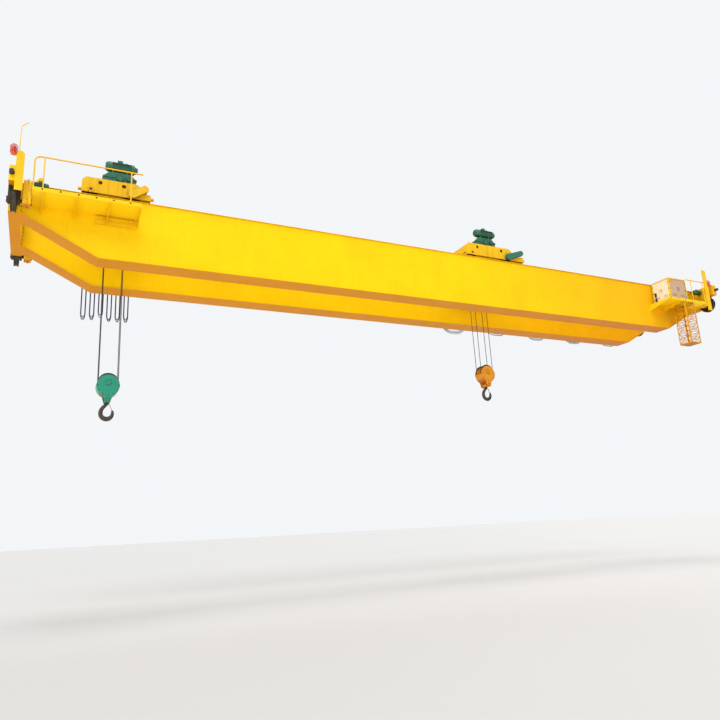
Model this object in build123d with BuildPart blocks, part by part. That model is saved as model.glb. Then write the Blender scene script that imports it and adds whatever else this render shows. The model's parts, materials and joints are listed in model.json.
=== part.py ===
"""Double girder overhead crane with two trolleys.

X runs along the girders, Y along the runway rails and Z up. The origin is midway between the two
runway rails, at the height of their heads, so the wheels touch at z = 0. The near side is -Y.
All sizes are in millimetres.
"""
import os
from math import atan2, cos, degrees, hypot, radians, tan

from build123d import *

os.makedirs("parts", exist_ok=True)

# Bridge
SPAN = 28500.0
WHEEL_BASE = 4000.0
GIRDER_SPACING = 2300.0
GIRDER_TOP = 1130.0
MID_DEPTH = 2000.0
END_DEPTH = 960.0
END_FLAT = 120.0
SLOPE_RUN = 1980.0
FLANGE_WIDTH = 720.0
WEB_GAP = 620.0
WEB_PLATE = 8.0
TOP_PLATE = 14.0
BOTTOM_PLATE = 16.0

# End carriages and their wheels
CARRIAGE_WIDTH = 300.0
CARRIAGE_PLATE = 10.0
CARRIAGE_OVERHANG = 440.0
NOTCH_INSET = 400.0
NOTCH_TOP = 670.0
NOTCH_ROUND = 90.0
HAND_HOLE_WIDTH = 110.0
HAND_HOLE_HEIGHT = 280.0
HAND_HOLE_Y = 620.0
HAND_HOLE_LEVELS = (330.0, 740.0)
WHEEL_RADIUS = 315.0
WHEEL_FLANGE = 25.0
WHEEL_TREAD = 90.0
WHEEL_WEB = 40.0
WHEEL_HUB_LIP = 10.0
AXLE_RADIUS = 55.0
AXLE_NUT = 30.0
AXLE_BOX = 260.0
AXLE_BOX_THICK = 60.0
AXLE_BOX_ROOT = 340.0
AXLE_COVER = 95.0
BUFFER_OFFSET = 80.0
BUFFER_RADIUS = 62.0
BUFFER_LENGTH = 150.0
BUFFER_NOSE = 20.0
BUFFER_PLATE = 12.0

# Long travel drives
DRIVE_GAP = 60.0
DRIVE_THICK = 200.0
DRIVE_RISE = 525.0
DRIVE_LOWER_RADIUS = 170.0
DRIVE_UPPER_RADIUS = 125.0
DRIVE_RIM = 18.0
DRIVE_RIM_THICK = 26.0
DRIVE_COVER = 105.0
DRIVE_COVER_THICK = 16.0
MOTOR_RADIUS = 110.0
MOTOR_LENGTH = 420.0

# Every finned motor, as shares of its own radius and length
MOTOR_BARREL = 0.86
MOTOR_SHIELD = 0.1
MOTOR_COWL = 0.22
MOTOR_COWL_END = 0.78
MOTOR_BOX = 0.85
MOTOR_BOX_RISE = 1.3
FIN_COUNT = 20
FIN_THICK = 6.0

# Trolley rails
RAIL_HEAD = 60.0
RAIL_HEAD_DEPTH = 32.0
RAIL_STEM = 24.0
RAIL_FOOT = 90.0
RAIL_FOOT_DEPTH = 16.0
RAIL_HEIGHT = 100.0
RAIL_END_GAP = 650.0
STOP_HEIGHT = 420.0
STOP_LENGTH = 320.0
STOP_CAP = 80.0
STOP_HEEL = 80.0
STOP_WIDTH = 120.0

# Walkways beside the girders
LEFT_DECK_TOP = 500.0
RIGHT_DECK_TOP = 150.0
DECK_GAP = 20.0
DECK_PLATE = 8.0
DECK_WIDTH = 960.0
LEFT_DECK_LENGTH = 2870.0
RIGHT_DECK_LENGTH = 2820.0
FAR_DECK_LENGTH = 560.0
TOE_HEIGHT = 100.0
TOE_PLATE = 6.0
BRACKET_DEPTH = 260.0
BRACKET_PLATE = 10.0
BRACKET_INSET = 260.0
BRACKET_PITCH = 1000.0
WALL_BAR_LENGTH = 1100.0
WALL_BAR_INSET = 100.0
WALL_BAR_LEVELS = (40.0, 180.0, 320.0)
WALL_BAR = 60.0
WALL_BAR_PLATE = 8.0
RAILING_HEIGHT = 1050.0
RAILING_TUBE = 21.0
RAILING_BEND = 160.0
RAILING_TAIL = 320.0
POST_TUBE = 18.0
POST_PAIR = 240.0

# Control cabinet and inspection cage
CABINET_INSET = 300.0
CABINET_LENGTH = 1050.0
CABINET_DEPTH = 850.0
CABINET_HEIGHT = 980.0
CABINET_ROUND = 12.0
CABINET_ROOF = 30.0
CABINET_EAVE = 18.0
PLINTH_HEIGHT = 70.0
PLINTH_INSET = 15.0
DOOR_PLATE = 14.0
DOOR_GAP = 5.0
DOOR_MARGIN = 28.0
VENT_COUNT = 5
VENT_PITCH = 26.0
VENT_HEIGHT = 10.0
FRAME_ANGLE = 45.0
FRAME_ANGLE_PLATE = 6.0
FRAME_ANGLE_GAP = 22.0
CAGE_INSET = 1120.0
CAGE_LENGTH = 620.0
CAGE_DEPTH = 600.0
CAGE_HEIGHT = 1900.0
CAGE_ANGLE = 50.0
CAGE_ANGLE_PLATE = 6.0
CAGE_BAR = 14.0
CAGE_TIERS = 4
CAGE_FLOOR = 40.0
HATCH_MARGIN = 60.0

# Uprights with the warning lamps
UPRIGHT_WIDTH = 200.0
UPRIGHT_DEPTH = 55.0
UPRIGHT_PLATE = 6.0
UPRIGHT_CHAMFER = 60.0
LEFT_UPRIGHT_OVERLAP = 150.0
LEFT_UPRIGHT_BOTTOM = 380.0
LEFT_UPRIGHT_TOP = 1560.0
RIGHT_UPRIGHT_BOTTOM = -150.0
RIGHT_UPRIGHT_TOP = 1780.0
RIGHT_UPRIGHT_INSET = 10.0
LEFT_LAMP_Z = 1440.0
RIGHT_LAMP_Z = 1000.0
LAMP_RADIUS = 75.0
LAMP_HEIGHT = 250.0
LAMP_BASE = 50.0
LAMP_GLASS = 66.0
LAMP_DOME = 60.0
LAMP_SHELF = 12.0
CONDUIT_RADIUS = 12.0
CONDUIT_RISE = 770.0
CONDUIT_REACH = 160.0
CONDUIT_BEND = 90.0
CONDUIT_FOOT = 60.0

# Trolleys
TROLLEY_1_INSET = 2790.0
TROLLEY_1_LEFT = 1090.0
TROLLEY_1_RIGHT = 610.0
TROLLEY_1_SHELF = 290.0
TROLLEY_2_X = 2610.0
TROLLEY_2_LEFT = 1210.0
TROLLEY_2_RIGHT = 990.0
TROLLEY_2_SHELF = 600.0
TROLLEY_WHEEL = 200.0
TROLLEY_FLANGE = 20.0
TROLLEY_WHEEL_WEB = 30.0
TROLLEY_AXLE = 45.0
AXLE_INSET = 250.0
AXLE_END = 12.0
SIDE_FRAME_WIDTH = 210.0
SIDE_FRAME_BOTTOM = 1330.0
SIDE_FRAME_TOP = 1830.0
SIDE_FRAME_EDGE = 18.0
SIDE_FRAME_EDGE_PLATE = 12.0
SHELF_TOP = 1540.0
SHELF_SLOPE = 110.0
FRAME_PLATE = 10.0
BEARING_RING = 105.0
BEARING_RING_THICK = 20.0
ROUND_HOLE = 62.0
ROUND_HOLE_INSET = 510.0
ROUND_HOLE_Z = 1690.0
CROSS_BEAM_WIDTH = 110.0
CROSS_BEAM_HEIGHT = 320.0
OPENING_MARGIN = 60.0
BUMPER_LENGTH = 100.0
BUMPER_RADIUS = 50.0
CROSS_MOTOR_RADIUS = 85.0
CROSS_MOTOR_LENGTH = 340.0
CROSS_MOTOR_INSET = 190.0
CROSS_MOTOR_RISE = 130.0
CROSS_CASE_THICK = 110.0
CROSS_CASE_LOWER = 120.0
CROSS_CASE_UPPER = 105.0
CROSS_CASE_RIM = 12.0
CROSS_CASE_RIM_THICK = 20.0

# Winches
DRUM_HALF = 620.0
DRUM_RISE = 330.0
DRUM_WALL = 30.0
DRUM_DISC = 16.0
DRUM_FLANGE = 45.0
DRUM_SHAFT = 60.0
DRUM_STUB = 100.0
GROOVES = 13
GROOVES_INSIDE = 2
GROOVE_PITCH = 34.0
GROOVE_CLEAR = 0.3
ROPE_RADIUS = 13.0
FALL_X = 280.0
FALL_Y = 150.0
EQUALISER_Z = 1560.0
SHEAVE_WIDTH = 70.0
SHEAVE_DISC = 24.0
HUB_WALL = 40.0
RIM_RISE = 25.0
RIM_WALL = 9.0
EQUALISER_PIN = 30.0
HANGER_PLATE = 14.0
HANGER_BEAM = 60.0
STAND_THICK = 60.0
STAND_FOOT = 440.0
STAND_HEAD = 115.0
CASE_HALF = 480.0
CASE_THICK = 180.0
CASE_RISE = 160.0
CASE_ROUND = 40.0
CASE_RIM = 24.0
CASE_RIM_THICK = 36.0
CASE_FOOT = 30.0
CASE_COVER = 120.0
CASE_COVER_THICK = 18.0
CASE_INPUT_X = 260.0
CASE_INPUT_COVER = 75.0
CASE_RIB = 14.0
CASE_LID = 260.0
CASE_LID_THICK = 12.0
HOIST_MOTOR_RADIUS = 165.0
HOIST_MOTOR_HALF = 420.0
HOIST_MOTOR_FOOT = 40.0
HOIST_MOTOR_GAP = 55.0

# Hook blocks and hooks
HOOK_1_AXLE_Z = -4260.0
HOOK_2_AXLE_Z = -3120.0
CHEEK_RADIUS = 325.0
CHEEK_DROP = 80.0
CHEEK_PLATE = 16.0
CHEEK_GAP = 10.0
CHEEK_BAND = 10.0
NECK_START = 130.0
NECK_END = 75.0
NECK_BOTTOM = 585.0
BLOCK_PIN = 50.0
BLOCK_PIN_COVER = 95.0
BLOCK_PIN_COVER_THICK = 14.0
CROSSHEAD_TOP = 480.0
CROSSHEAD_HEIGHT = 90.0
CROSSHEAD_PIN = 34.0
HOOK_NUT = 76.0
HOOK_NUT_HEIGHT = 60.0
HOOK_SHANK = 45.0
HOOK_DROP = 895.0
HOOK_INNER = 100.0

# Festoon cables
TRACK_Y = 1950.0
TRACK_TOP = 1010.0
TRACK_HEIGHT = 80.0
TRACK_WIDTH = 60.0
TRACK_PLATE = 8.0
TRACK_END_GAP = 1250.0
TRACK_ARMS = 11
TRACK_ARM = 60.0
TRACK_ARM_INSET = 500.0
CABLE_RADIUS = 22.0
SADDLE_Z = 810.0
CARRIER_RUN = 140.0
CARRIER_HALF = 6.0
CARRIER_PLATE = 8.0
ROLLER_RADIUS = 20.0
BUNCH_LOOPS = 6
BUNCH_PITCH = 270.0
BUNCH_BOTTOM = -1900.0
SPREAD_LOOPS = 5
SPREAD_BOTTOM = -1100.0
ARM_INSET = 60.0
ARM_BAR = 40.0
ARM_HEIGHT = 1500.0

# Clearances
RUN_CLEAR = 0.3
SEAT_CLEAR = 0.3
SIDE_CLEAR = 6.0

# Worked out from the sizes above
NEAR, FAR = -1, 1
LEFT, RIGHT = -1, 1
GIRDER_Y = GIRDER_SPACING / 2
RAIL_X = SPAN / 2
GIRDER_END = RAIL_X - CARRIAGE_WIDTH / 2
BELLY_HALF = GIRDER_END - END_FLAT - SLOPE_RUN
END_BOTTOM = GIRDER_TOP - END_DEPTH
MID_BOTTOM = GIRDER_TOP - MID_DEPTH
SLOPE_ANGLE = atan2(MID_DEPTH - END_DEPTH, SLOPE_RUN)
WEB_OUTSIDE = WEB_GAP / 2 + WEB_PLATE
DECK_EDGE = GIRDER_Y + WEB_OUTSIDE + DECK_WIDTH
WHEEL_Y = WHEEL_BASE / 2
CARRIAGE_HALF = WHEEL_Y + CARRIAGE_OVERHANG
NOTCH_Y = WHEEL_Y - NOTCH_INSET
RAIL_HALF = RAIL_X - RAIL_END_GAP
RAIL_TOP = GIRDER_TOP + RAIL_HEIGHT
TRACK_HALF = RAIL_X - TRACK_END_GAP
TRACK_BOTTOM = TRACK_TOP - TRACK_HEIGHT
TROLLEY_1_X = TROLLEY_1_INSET - RAIL_X
TROLLEY_AXLE_Z = RAIL_TOP + TROLLEY_WHEEL + RUN_CLEAR
DRUM_Z = SIDE_FRAME_TOP + DRUM_RISE
DRIVE_X = GIRDER_END - DRIVE_GAP - DRIVE_THICK / 2
DECK_START = DRIVE_X - DRIVE_THICK / 2 - DECK_GAP
CABINET_LEFT = DECK_START - RIGHT_DECK_LENGTH + CABINET_INSET
CABINET_RIGHT = CABINET_LEFT + CABINET_LENGTH
OUTER_CHEEK = FALL_Y + SHEAVE_WIDTH / 2 + CHEEK_GAP
INNER_CHEEK = FALL_Y - SHEAVE_WIDTH / 2 - CHEEK_GAP - CHEEK_PLATE
TWIN_SIDES = (NEAR, FAR)
TWIN_ENDS = (LEFT, RIGHT)


def save(part, name):
    """Labels a finished piece and writes it."""
    part.label = name
    export_step(part, f"parts/{name}.step")


def joined(pieces):
    """One part holding all the pieces."""
    with BuildPart() as whole:
        add(pieces)
    return whole.part


def turned(profile, centre, way):
    """Solid turned about the line through centre along way, from points of radius and distance."""
    along = Vector(*way)
    outward = Vector(1, 0, 0) if abs(along.Z) > 0.5 else Vector(0, 0, 1)
    with BuildPart() as body:
        with BuildSketch(Plane(origin=centre, x_dir=outward, z_dir=outward.cross(along))):
            with BuildLine():
                Polyline(*profile, close=True)
            make_face()
        revolve(axis=Axis(centre, way))
    return body.part


def disc(centre, way, radius, thick):
    """Round plate that starts at centre and grows along way."""
    return turned([(0, 0), (radius, 0), (radius, thick), (0, thick)], centre, way)


def motor(face, way, radius, length):
    """Finned motor that starts at its mounting face, with a cowl at the far end and a box on top."""
    barrel = radius * MOTOR_BARREL
    shield = length * MOTOR_SHIELD
    cowl = length * (1 - MOTOR_COWL)
    middle = Vector(*face) + Vector(*way) * (length / 2)
    box = radius * MOTOR_BOX
    profile = [
        (0, 0),
        (radius, 0),
        (radius, shield),
        (barrel, shield),
        (barrel, cowl),
        (radius, cowl),
        (radius, length - shield),
        (radius * MOTOR_COWL_END, length),
        (0, length),
    ]
    with BuildPart() as body:
        add(turned(profile, face, way))
        with BuildSketch(Plane(origin=Vector(*face) + Vector(*way) * shield, z_dir=way)):
            with PolarLocations(barrel, FIN_COUNT):
                Rectangle(2 * (radius - barrel) - FIN_THICK / 2, FIN_THICK)
        extrude(amount=cowl - shield)
        with BuildSketch(Plane.XY.offset(middle.Z)):
            with Locations((middle.X, middle.Y)):
                Rectangle(box, box)
        extrude(amount=radius * MOTOR_BOX_RISE)
    return body.part


def gear_case(lower, upper, lower_radius, upper_radius, thick, rim, rim_thick, sideways):
    """Reducer drawn round two shafts, with the rim of its split casing at mid thickness.

    The shafts are points in the plane across them, and sideways is that plane at mid thickness.
    """
    with BuildPart() as case:
        for extra, width in ((0, thick), (rim, rim_thick)):
            with BuildSketch(sideways) as outline:
                with Locations(lower):
                    Circle(lower_radius + extra)
                with Locations(upper):
                    Circle(upper_radius + extra)
                make_hull(outline.edges())
            extrude(amount=width / 2, both=True)
    return case.part


def belly_points(drop):
    """Underside of a girder from left to right, moved down square to its plates by drop."""
    shift = drop * tan(SLOPE_ANGLE / 2)
    outer = BELLY_HALF + SLOPE_RUN + shift
    inner = BELLY_HALF + shift
    return [
        (-GIRDER_END, END_BOTTOM - drop),
        (-outer, END_BOTTOM - drop),
        (-inner, MID_BOTTOM - drop),
        (inner, MID_BOTTOM - drop),
        (outer, END_BOTTOM - drop),
        (GIRDER_END, END_BOTTOM - drop),
    ]


def flange_top(x):
    """Height of the bottom flange's upper face at a distance x from the middle of the span."""
    rise = max(0.0, min(x - BELLY_HALF, SLOPE_RUN)) * tan(SLOPE_ANGLE)
    return MID_BOTTOM + rise + BOTTOM_PLATE / cos(SLOPE_ANGLE)


def girder(side, name):
    """One box girder: two webs, a flat top flange and a bottom flange bent up at both ends."""
    middle = side * GIRDER_Y
    with BuildPart() as webs:
        for web_side in (-1, 1):
            web_y = middle + web_side * (WEB_GAP / 2 + WEB_PLATE / 2)
            with BuildSketch(Plane.XZ.offset(-web_y)):
                with BuildLine():
                    Polyline(
                        *belly_points(-BOTTOM_PLATE),
                        (GIRDER_END, GIRDER_TOP - TOP_PLATE),
                        (-GIRDER_END, GIRDER_TOP - TOP_PLATE),
                        close=True,
                    )
                make_face()
            extrude(amount=WEB_PLATE / 2, both=True)
    save(webs.part, f"girder_{name}_webs")

    with BuildPart() as top:
        with BuildSketch(Plane.XY.offset(GIRDER_TOP - TOP_PLATE)):
            with Locations((0, middle)):
                Rectangle(2 * GIRDER_END, FLANGE_WIDTH)
        extrude(amount=TOP_PLATE)
    save(top.part, f"girder_{name}_top_flange")

    with BuildPart() as bottom:
        with BuildSketch(Plane.XZ.offset(-middle)):
            with BuildLine():
                Polyline(*belly_points(-BOTTOM_PLATE), *reversed(belly_points(0)), close=True)
            make_face()
        extrude(amount=FLANGE_WIDTH / 2, both=True)
    save(bottom.part, f"girder_{name}_bottom_flange")


def trolley_rails():
    """A crane rail with foot, stem and head on the middle of each girder."""
    stem_top = RAIL_HEIGHT - RAIL_HEAD_DEPTH
    with BuildPart() as rails:
        for side in TWIN_SIDES:
            with BuildSketch(Plane.YZ.offset(-RAIL_HALF)):
                with Locations((side * GIRDER_Y, GIRDER_TOP)):
                    with Locations((0, RAIL_FOOT_DEPTH / 2)):
                        Rectangle(RAIL_FOOT, RAIL_FOOT_DEPTH)
                    with Locations((0, stem_top / 2)):
                        Rectangle(RAIL_STEM, stem_top)
                    with Locations((0, RAIL_HEIGHT - RAIL_HEAD_DEPTH / 2)):
                        Rectangle(RAIL_HEAD, RAIL_HEAD_DEPTH)
            extrude(amount=2 * RAIL_HALF)
    save(rails.part, "trolley_rails")


def rail_stops():
    """A wedge-backed stop at each end of each trolley rail."""
    with BuildPart() as stops:
        for side in TWIN_SIDES:
            with BuildSketch(Plane.XZ.offset(-side * GIRDER_Y)):
                for end in TWIN_ENDS:
                    face_x = end * RAIL_HALF
                    with BuildLine():
                        Polyline(
                            (face_x, GIRDER_TOP),
                            (face_x, GIRDER_TOP + STOP_HEIGHT),
                            (face_x + end * STOP_CAP, GIRDER_TOP + STOP_HEIGHT),
                            (face_x + end * STOP_LENGTH, GIRDER_TOP + STOP_HEEL),
                            (face_x + end * STOP_LENGTH, GIRDER_TOP),
                            close=True,
                        )
                    make_face()
            extrude(amount=STOP_WIDTH / 2, both=True)
    save(slimmer_gussets(stops.part), "rail_stops")


def slimmer_gussets(stops):
    """The stops with their side gussets cut slimmer than the face plate."""
    with BuildPart() as shaped:
        add(stops)
        for side in TWIN_SIDES:
            for end in TWIN_ENDS:
                for flank in (-1, 1):
                    start_x = end * (RAIL_HALF + STOP_CAP / 2)
                    with BuildSketch(Plane.XY.offset(GIRDER_TOP + STOP_HEEL / 2)):
                        edge_y = side * GIRDER_Y + flank * STOP_WIDTH / 2
                        with Locations((start_x + end * STOP_LENGTH / 2, edge_y)):
                            Rectangle(STOP_LENGTH, STOP_WIDTH / 2)
                    extrude(amount=STOP_HEIGHT, mode=Mode.SUBTRACT)
    return shaped.part


def carriage_face():
    """Side view of an end carriage in Y and Z: raised over the wheels, with rounded notches."""
    with BuildSketch() as face:
        with BuildLine():
            Polyline(
                (-CARRIAGE_HALF, GIRDER_TOP),
                (CARRIAGE_HALF, GIRDER_TOP),
                (CARRIAGE_HALF, NOTCH_TOP),
                (NOTCH_Y, NOTCH_TOP),
                (NOTCH_Y, END_BOTTOM),
                (-NOTCH_Y, END_BOTTOM),
                (-NOTCH_Y, NOTCH_TOP),
                (-CARRIAGE_HALF, NOTCH_TOP),
                close=True,
            )
        make_face()
        notches = face.vertices().filter_by_position(Axis.X, -NOTCH_Y - 1, NOTCH_Y + 1)
        fillet(notches.group_by(Axis.Y)[-1], radius=NOTCH_ROUND)
    return face.sketch


def end_carriage(end, name):
    """Hollow box beam across the ends of both girders, with hand holes in its inner plate."""
    with BuildPart() as carriage:
        with BuildSketch(Plane.YZ.offset(end * RAIL_X)):
            add(carriage_face())
        extrude(amount=CARRIAGE_WIDTH / 2, both=True)
        with BuildSketch(Plane.YZ.offset(end * RAIL_X)):
            add(carriage_face())
            offset(amount=-CARRIAGE_PLATE, kind=Kind.INTERSECTION)
        extrude(amount=CARRIAGE_WIDTH / 2 - CARRIAGE_PLATE, both=True, mode=Mode.SUBTRACT)
        inner_face = end * (RAIL_X - CARRIAGE_WIDTH / 2)
        with BuildSketch(Plane.YZ.offset(inner_face)):
            for hole_y in (-HAND_HOLE_Y, HAND_HOLE_Y):
                for level in HAND_HOLE_LEVELS:
                    with Locations((hole_y, level)):
                        SlotOverall(HAND_HOLE_HEIGHT, HAND_HOLE_WIDTH, rotation=90)
        extrude(amount=CARRIAGE_PLATE, both=True, mode=Mode.SUBTRACT)
    save(carriage.part, f"end_carriage_{name}")


def wheel_profile(tread, flange, half_width, web, axle, reach_in, reach_out):
    """Half section of a double-flanged wheel on its axle, as radius against width."""
    rim = tread - flange
    hub = axle * 2
    lip = half_width + flange
    return [
        (0, -reach_in),
        (axle, -reach_in),
        (axle, -lip - WHEEL_HUB_LIP),
        (hub, -lip - WHEEL_HUB_LIP),
        (hub, -web / 2),
        (rim, -web / 2),
        (rim, -lip),
        (tread + flange, -lip),
        (tread + flange, -half_width - flange / 3),
        (tread, -half_width),
        (tread, half_width),
        (tread + flange, half_width + flange / 3),
        (tread + flange, lip),
        (rim, lip),
        (rim, web / 2),
        (hub, web / 2),
        (hub, lip + WHEEL_HUB_LIP),
        (axle, lip + WHEEL_HUB_LIP),
        (axle, reach_out),
        (0, reach_out),
    ]


def bridge_wheels():
    """Four runway wheels, each one piece with its axle and the nut on its outer end."""
    reach_in = CARRIAGE_WIDTH / 2 + DRIVE_GAP
    reach_out = CARRIAGE_WIDTH / 2 + AXLE_NUT
    profile = wheel_profile(
        WHEEL_RADIUS, WHEEL_FLANGE, WHEEL_TREAD / 2, WHEEL_WEB, AXLE_RADIUS, reach_in, reach_out
    )
    wheels = []
    for end in TWIN_ENDS:
        for side in TWIN_SIDES:
            wheels.append(turned(profile, (end * RAIL_X, side * WHEEL_Y, WHEEL_RADIUS), (end, 0, 0)))
    save(joined(wheels), "bridge_wheels")


def axle_boxes():
    """Tapered bearing boxes on both sides of each runway wheel, hung from the raised carriage corners."""
    with BuildPart() as boxes:
        for end in TWIN_ENDS:
            for flank in (-1, 1):
                plate_x = end * RAIL_X + flank * (CARRIAGE_WIDTH / 2 - AXLE_BOX_THICK / 2)
                for side in TWIN_SIDES:
                    wheel_y = side * WHEEL_Y
                    with BuildSketch(Plane.YZ.offset(plate_x)):
                        with Locations((wheel_y, WHEEL_RADIUS)):
                            Circle(AXLE_BOX / 2)
                        with BuildLine():
                            Polyline(
                                (wheel_y - AXLE_BOX / 2, WHEEL_RADIUS),
                                (wheel_y + AXLE_BOX / 2, WHEEL_RADIUS),
                                (wheel_y + AXLE_BOX_ROOT / 2, NOTCH_TOP),
                                (wheel_y - AXLE_BOX_ROOT / 2, NOTCH_TOP),
                                close=True,
                            )
                        make_face()
                    extrude(amount=AXLE_BOX_THICK / 2, both=True)
        for end in TWIN_ENDS:
            for side in TWIN_SIDES:
                outer_face = Plane.YZ.offset(end * (RAIL_X + CARRIAGE_WIDTH / 2))
                with BuildSketch(outer_face):
                    with Locations((side * WHEEL_Y, WHEEL_RADIUS)):
                        Circle(AXLE_COVER)
                extrude(amount=end * AXLE_NUT / 2)
        for end in TWIN_ENDS:
            with BuildSketch(Plane.YZ.offset(end * RAIL_X)):
                with Locations((-WHEEL_Y, WHEEL_RADIUS), (WHEEL_Y, WHEEL_RADIUS)):
                    Circle(AXLE_RADIUS + RUN_CLEAR)
            extrude(amount=CARRIAGE_WIDTH, both=True, mode=Mode.SUBTRACT)
    save(boxes.part, "axle_boxes")


def buffers():
    """A cushion buffer with a rounded nose on both ends of each end carriage."""
    middle_z = (GIRDER_TOP + NOTCH_TOP) / 2
    root = BUFFER_RADIUS + BUFFER_PLATE / 2
    profile = [
        (0, 0),
        (root, 0),
        (root, BUFFER_PLATE),
        (BUFFER_RADIUS, BUFFER_PLATE),
        (BUFFER_RADIUS, BUFFER_LENGTH - BUFFER_NOSE),
        (BUFFER_RADIUS - BUFFER_NOSE, BUFFER_LENGTH),
        (0, BUFFER_LENGTH),
    ]
    cushions = []
    for end in TWIN_ENDS:
        for side in TWIN_SIDES:
            root_middle = (end * (RAIL_X + BUFFER_OFFSET), side * CARRIAGE_HALF, middle_z)
            cushions.append(turned(profile, root_middle, (0, side, 0)))
    save(joined(cushions), "buffers")


def travel_gearboxes():
    """Upright gear reducer beside each driven runway wheel, with a bearing cover on its inner face."""
    cases = []
    for end in TWIN_ENDS:
        for side in TWIN_SIDES:
            cases.append(
                gear_case(
                    (side * WHEEL_Y, WHEEL_RADIUS),
                    (side * WHEEL_Y, WHEEL_RADIUS + DRIVE_RISE),
                    DRIVE_LOWER_RADIUS,
                    DRIVE_UPPER_RADIUS,
                    DRIVE_THICK,
                    DRIVE_RIM,
                    DRIVE_RIM_THICK,
                    Plane.YZ.offset(end * DRIVE_X),
                )
            )
            cover_x = end * (DRIVE_X - DRIVE_THICK / 2)
            cover_middle = (cover_x, side * WHEEL_Y, WHEEL_RADIUS)
            cases.append(disc(cover_middle, (-end, 0, 0), DRIVE_COVER, DRIVE_COVER_THICK))
    save(joined(cases), "travel_gearboxes")


def travel_motors():
    """Motor on the inner side of each upright reducer."""
    motors = []
    for end in TWIN_ENDS:
        for side in TWIN_SIDES:
            face = (end * (DRIVE_X - DRIVE_THICK / 2), side * WHEEL_Y, WHEEL_RADIUS + DRIVE_RISE)
            motors.append(motor(face, (-end, 0, 0), MOTOR_RADIUS, MOTOR_LENGTH))
    save(joined(motors), "travel_motors")


def deck(end, side, deck_top, deck_end):
    """Floor plate, toe board and brackets of one walkway."""
    web_y = side * (GIRDER_Y + WEB_OUTSIDE)
    edge_y = side * DECK_EDGE
    length = DECK_START - deck_end
    middle_x = end * (DECK_START + deck_end) / 2
    bracket_count = max(2, round(length / BRACKET_PITCH) + 1)
    bracket_run = length - BRACKET_PLATE - BRACKET_INSET
    bracket_top = deck_top - DECK_PLATE
    with BuildPart() as walkway:
        with BuildSketch(Plane.XY.offset(deck_top - DECK_PLATE)):
            with Locations((middle_x, (web_y + edge_y) / 2)):
                Rectangle(length, DECK_WIDTH)
        extrude(amount=DECK_PLATE)
        with BuildSketch(Plane.XY.offset(deck_top - DECK_PLATE)):
            with Locations((middle_x, edge_y - side * TOE_PLATE / 2)):
                Rectangle(length, TOE_PLATE)
        extrude(amount=TOE_HEIGHT + DECK_PLATE)
        for number in range(bracket_count):
            share = number / (bracket_count - 1)
            bracket_x = deck_end + BRACKET_PLATE + share * bracket_run
            depth = min(BRACKET_DEPTH, bracket_top - flange_top(bracket_x) - SIDE_CLEAR)
            with BuildSketch(Plane.YZ.offset(end * bracket_x)):
                with BuildLine():
                    Polyline(
                        (web_y, bracket_top),
                        (edge_y, bracket_top),
                        (edge_y, bracket_top - depth / 4),
                        (web_y, bracket_top - depth),
                        close=True,
                    )
                make_face()
            extrude(amount=BRACKET_PLATE / 2, both=True)
    return walkway.part


def wall_bars():
    """Three short angle bars along the near web under the left walkway."""
    web_y = -(GIRDER_Y + WEB_OUTSIDE)
    right_x = LEFT_DECK_LENGTH - DECK_START - WALL_BAR_INSET
    with BuildPart() as bars:
        for level in WALL_BAR_LEVELS:
            top = LEFT_DECK_TOP - DECK_PLATE - level
            with BuildSketch(Plane.YZ.offset(right_x - WALL_BAR_LENGTH)):
                with BuildLine():
                    Polyline(
                        (web_y, top),
                        (web_y - WALL_BAR, top),
                        (web_y - WALL_BAR, top - WALL_BAR_PLATE),
                        (web_y - WALL_BAR_PLATE, top - WALL_BAR_PLATE),
                        (web_y - WALL_BAR_PLATE, top - WALL_BAR),
                        (web_y, top - WALL_BAR),
                        close=True,
                    )
                make_face()
            extrude(amount=WALL_BAR_LENGTH)
    return bars.part


def cage_middle():
    """Middle of the inspection cage, in X and Y."""
    return (DECK_START - CAGE_INSET - CAGE_LENGTH / 2, -DECK_EDGE + CAGE_DEPTH / 2)


def walkways():
    """Walkways on the outer side of each girder at its ends, with a hatch over the cage."""
    far_end = DECK_START - FAR_DECK_LENGTH
    left = deck(LEFT, NEAR, LEFT_DECK_TOP, DECK_START - LEFT_DECK_LENGTH)
    right = deck(RIGHT, NEAR, RIGHT_DECK_TOP, DECK_START - RIGHT_DECK_LENGTH)
    hatch_left = CABINET_RIGHT + HATCH_MARGIN
    hatch_right = DECK_START - CAGE_INSET - HATCH_MARGIN
    with BuildPart() as near:
        add([left, wall_bars(), right])
        with BuildSketch(Plane.XY.offset(RIGHT_DECK_TOP)):
            with Locations(((hatch_left + hatch_right) / 2, cage_middle()[1])):
                Rectangle(hatch_right - hatch_left, CAGE_DEPTH - 2 * HATCH_MARGIN)
        extrude(amount=-DECK_PLATE, mode=Mode.SUBTRACT)
    save(near.part, "walkways_near")
    save(
        joined([deck(LEFT, FAR, LEFT_DECK_TOP, far_end), deck(RIGHT, FAR, RIGHT_DECK_TOP, far_end)]),
        "walkways_far",
    )


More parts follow.
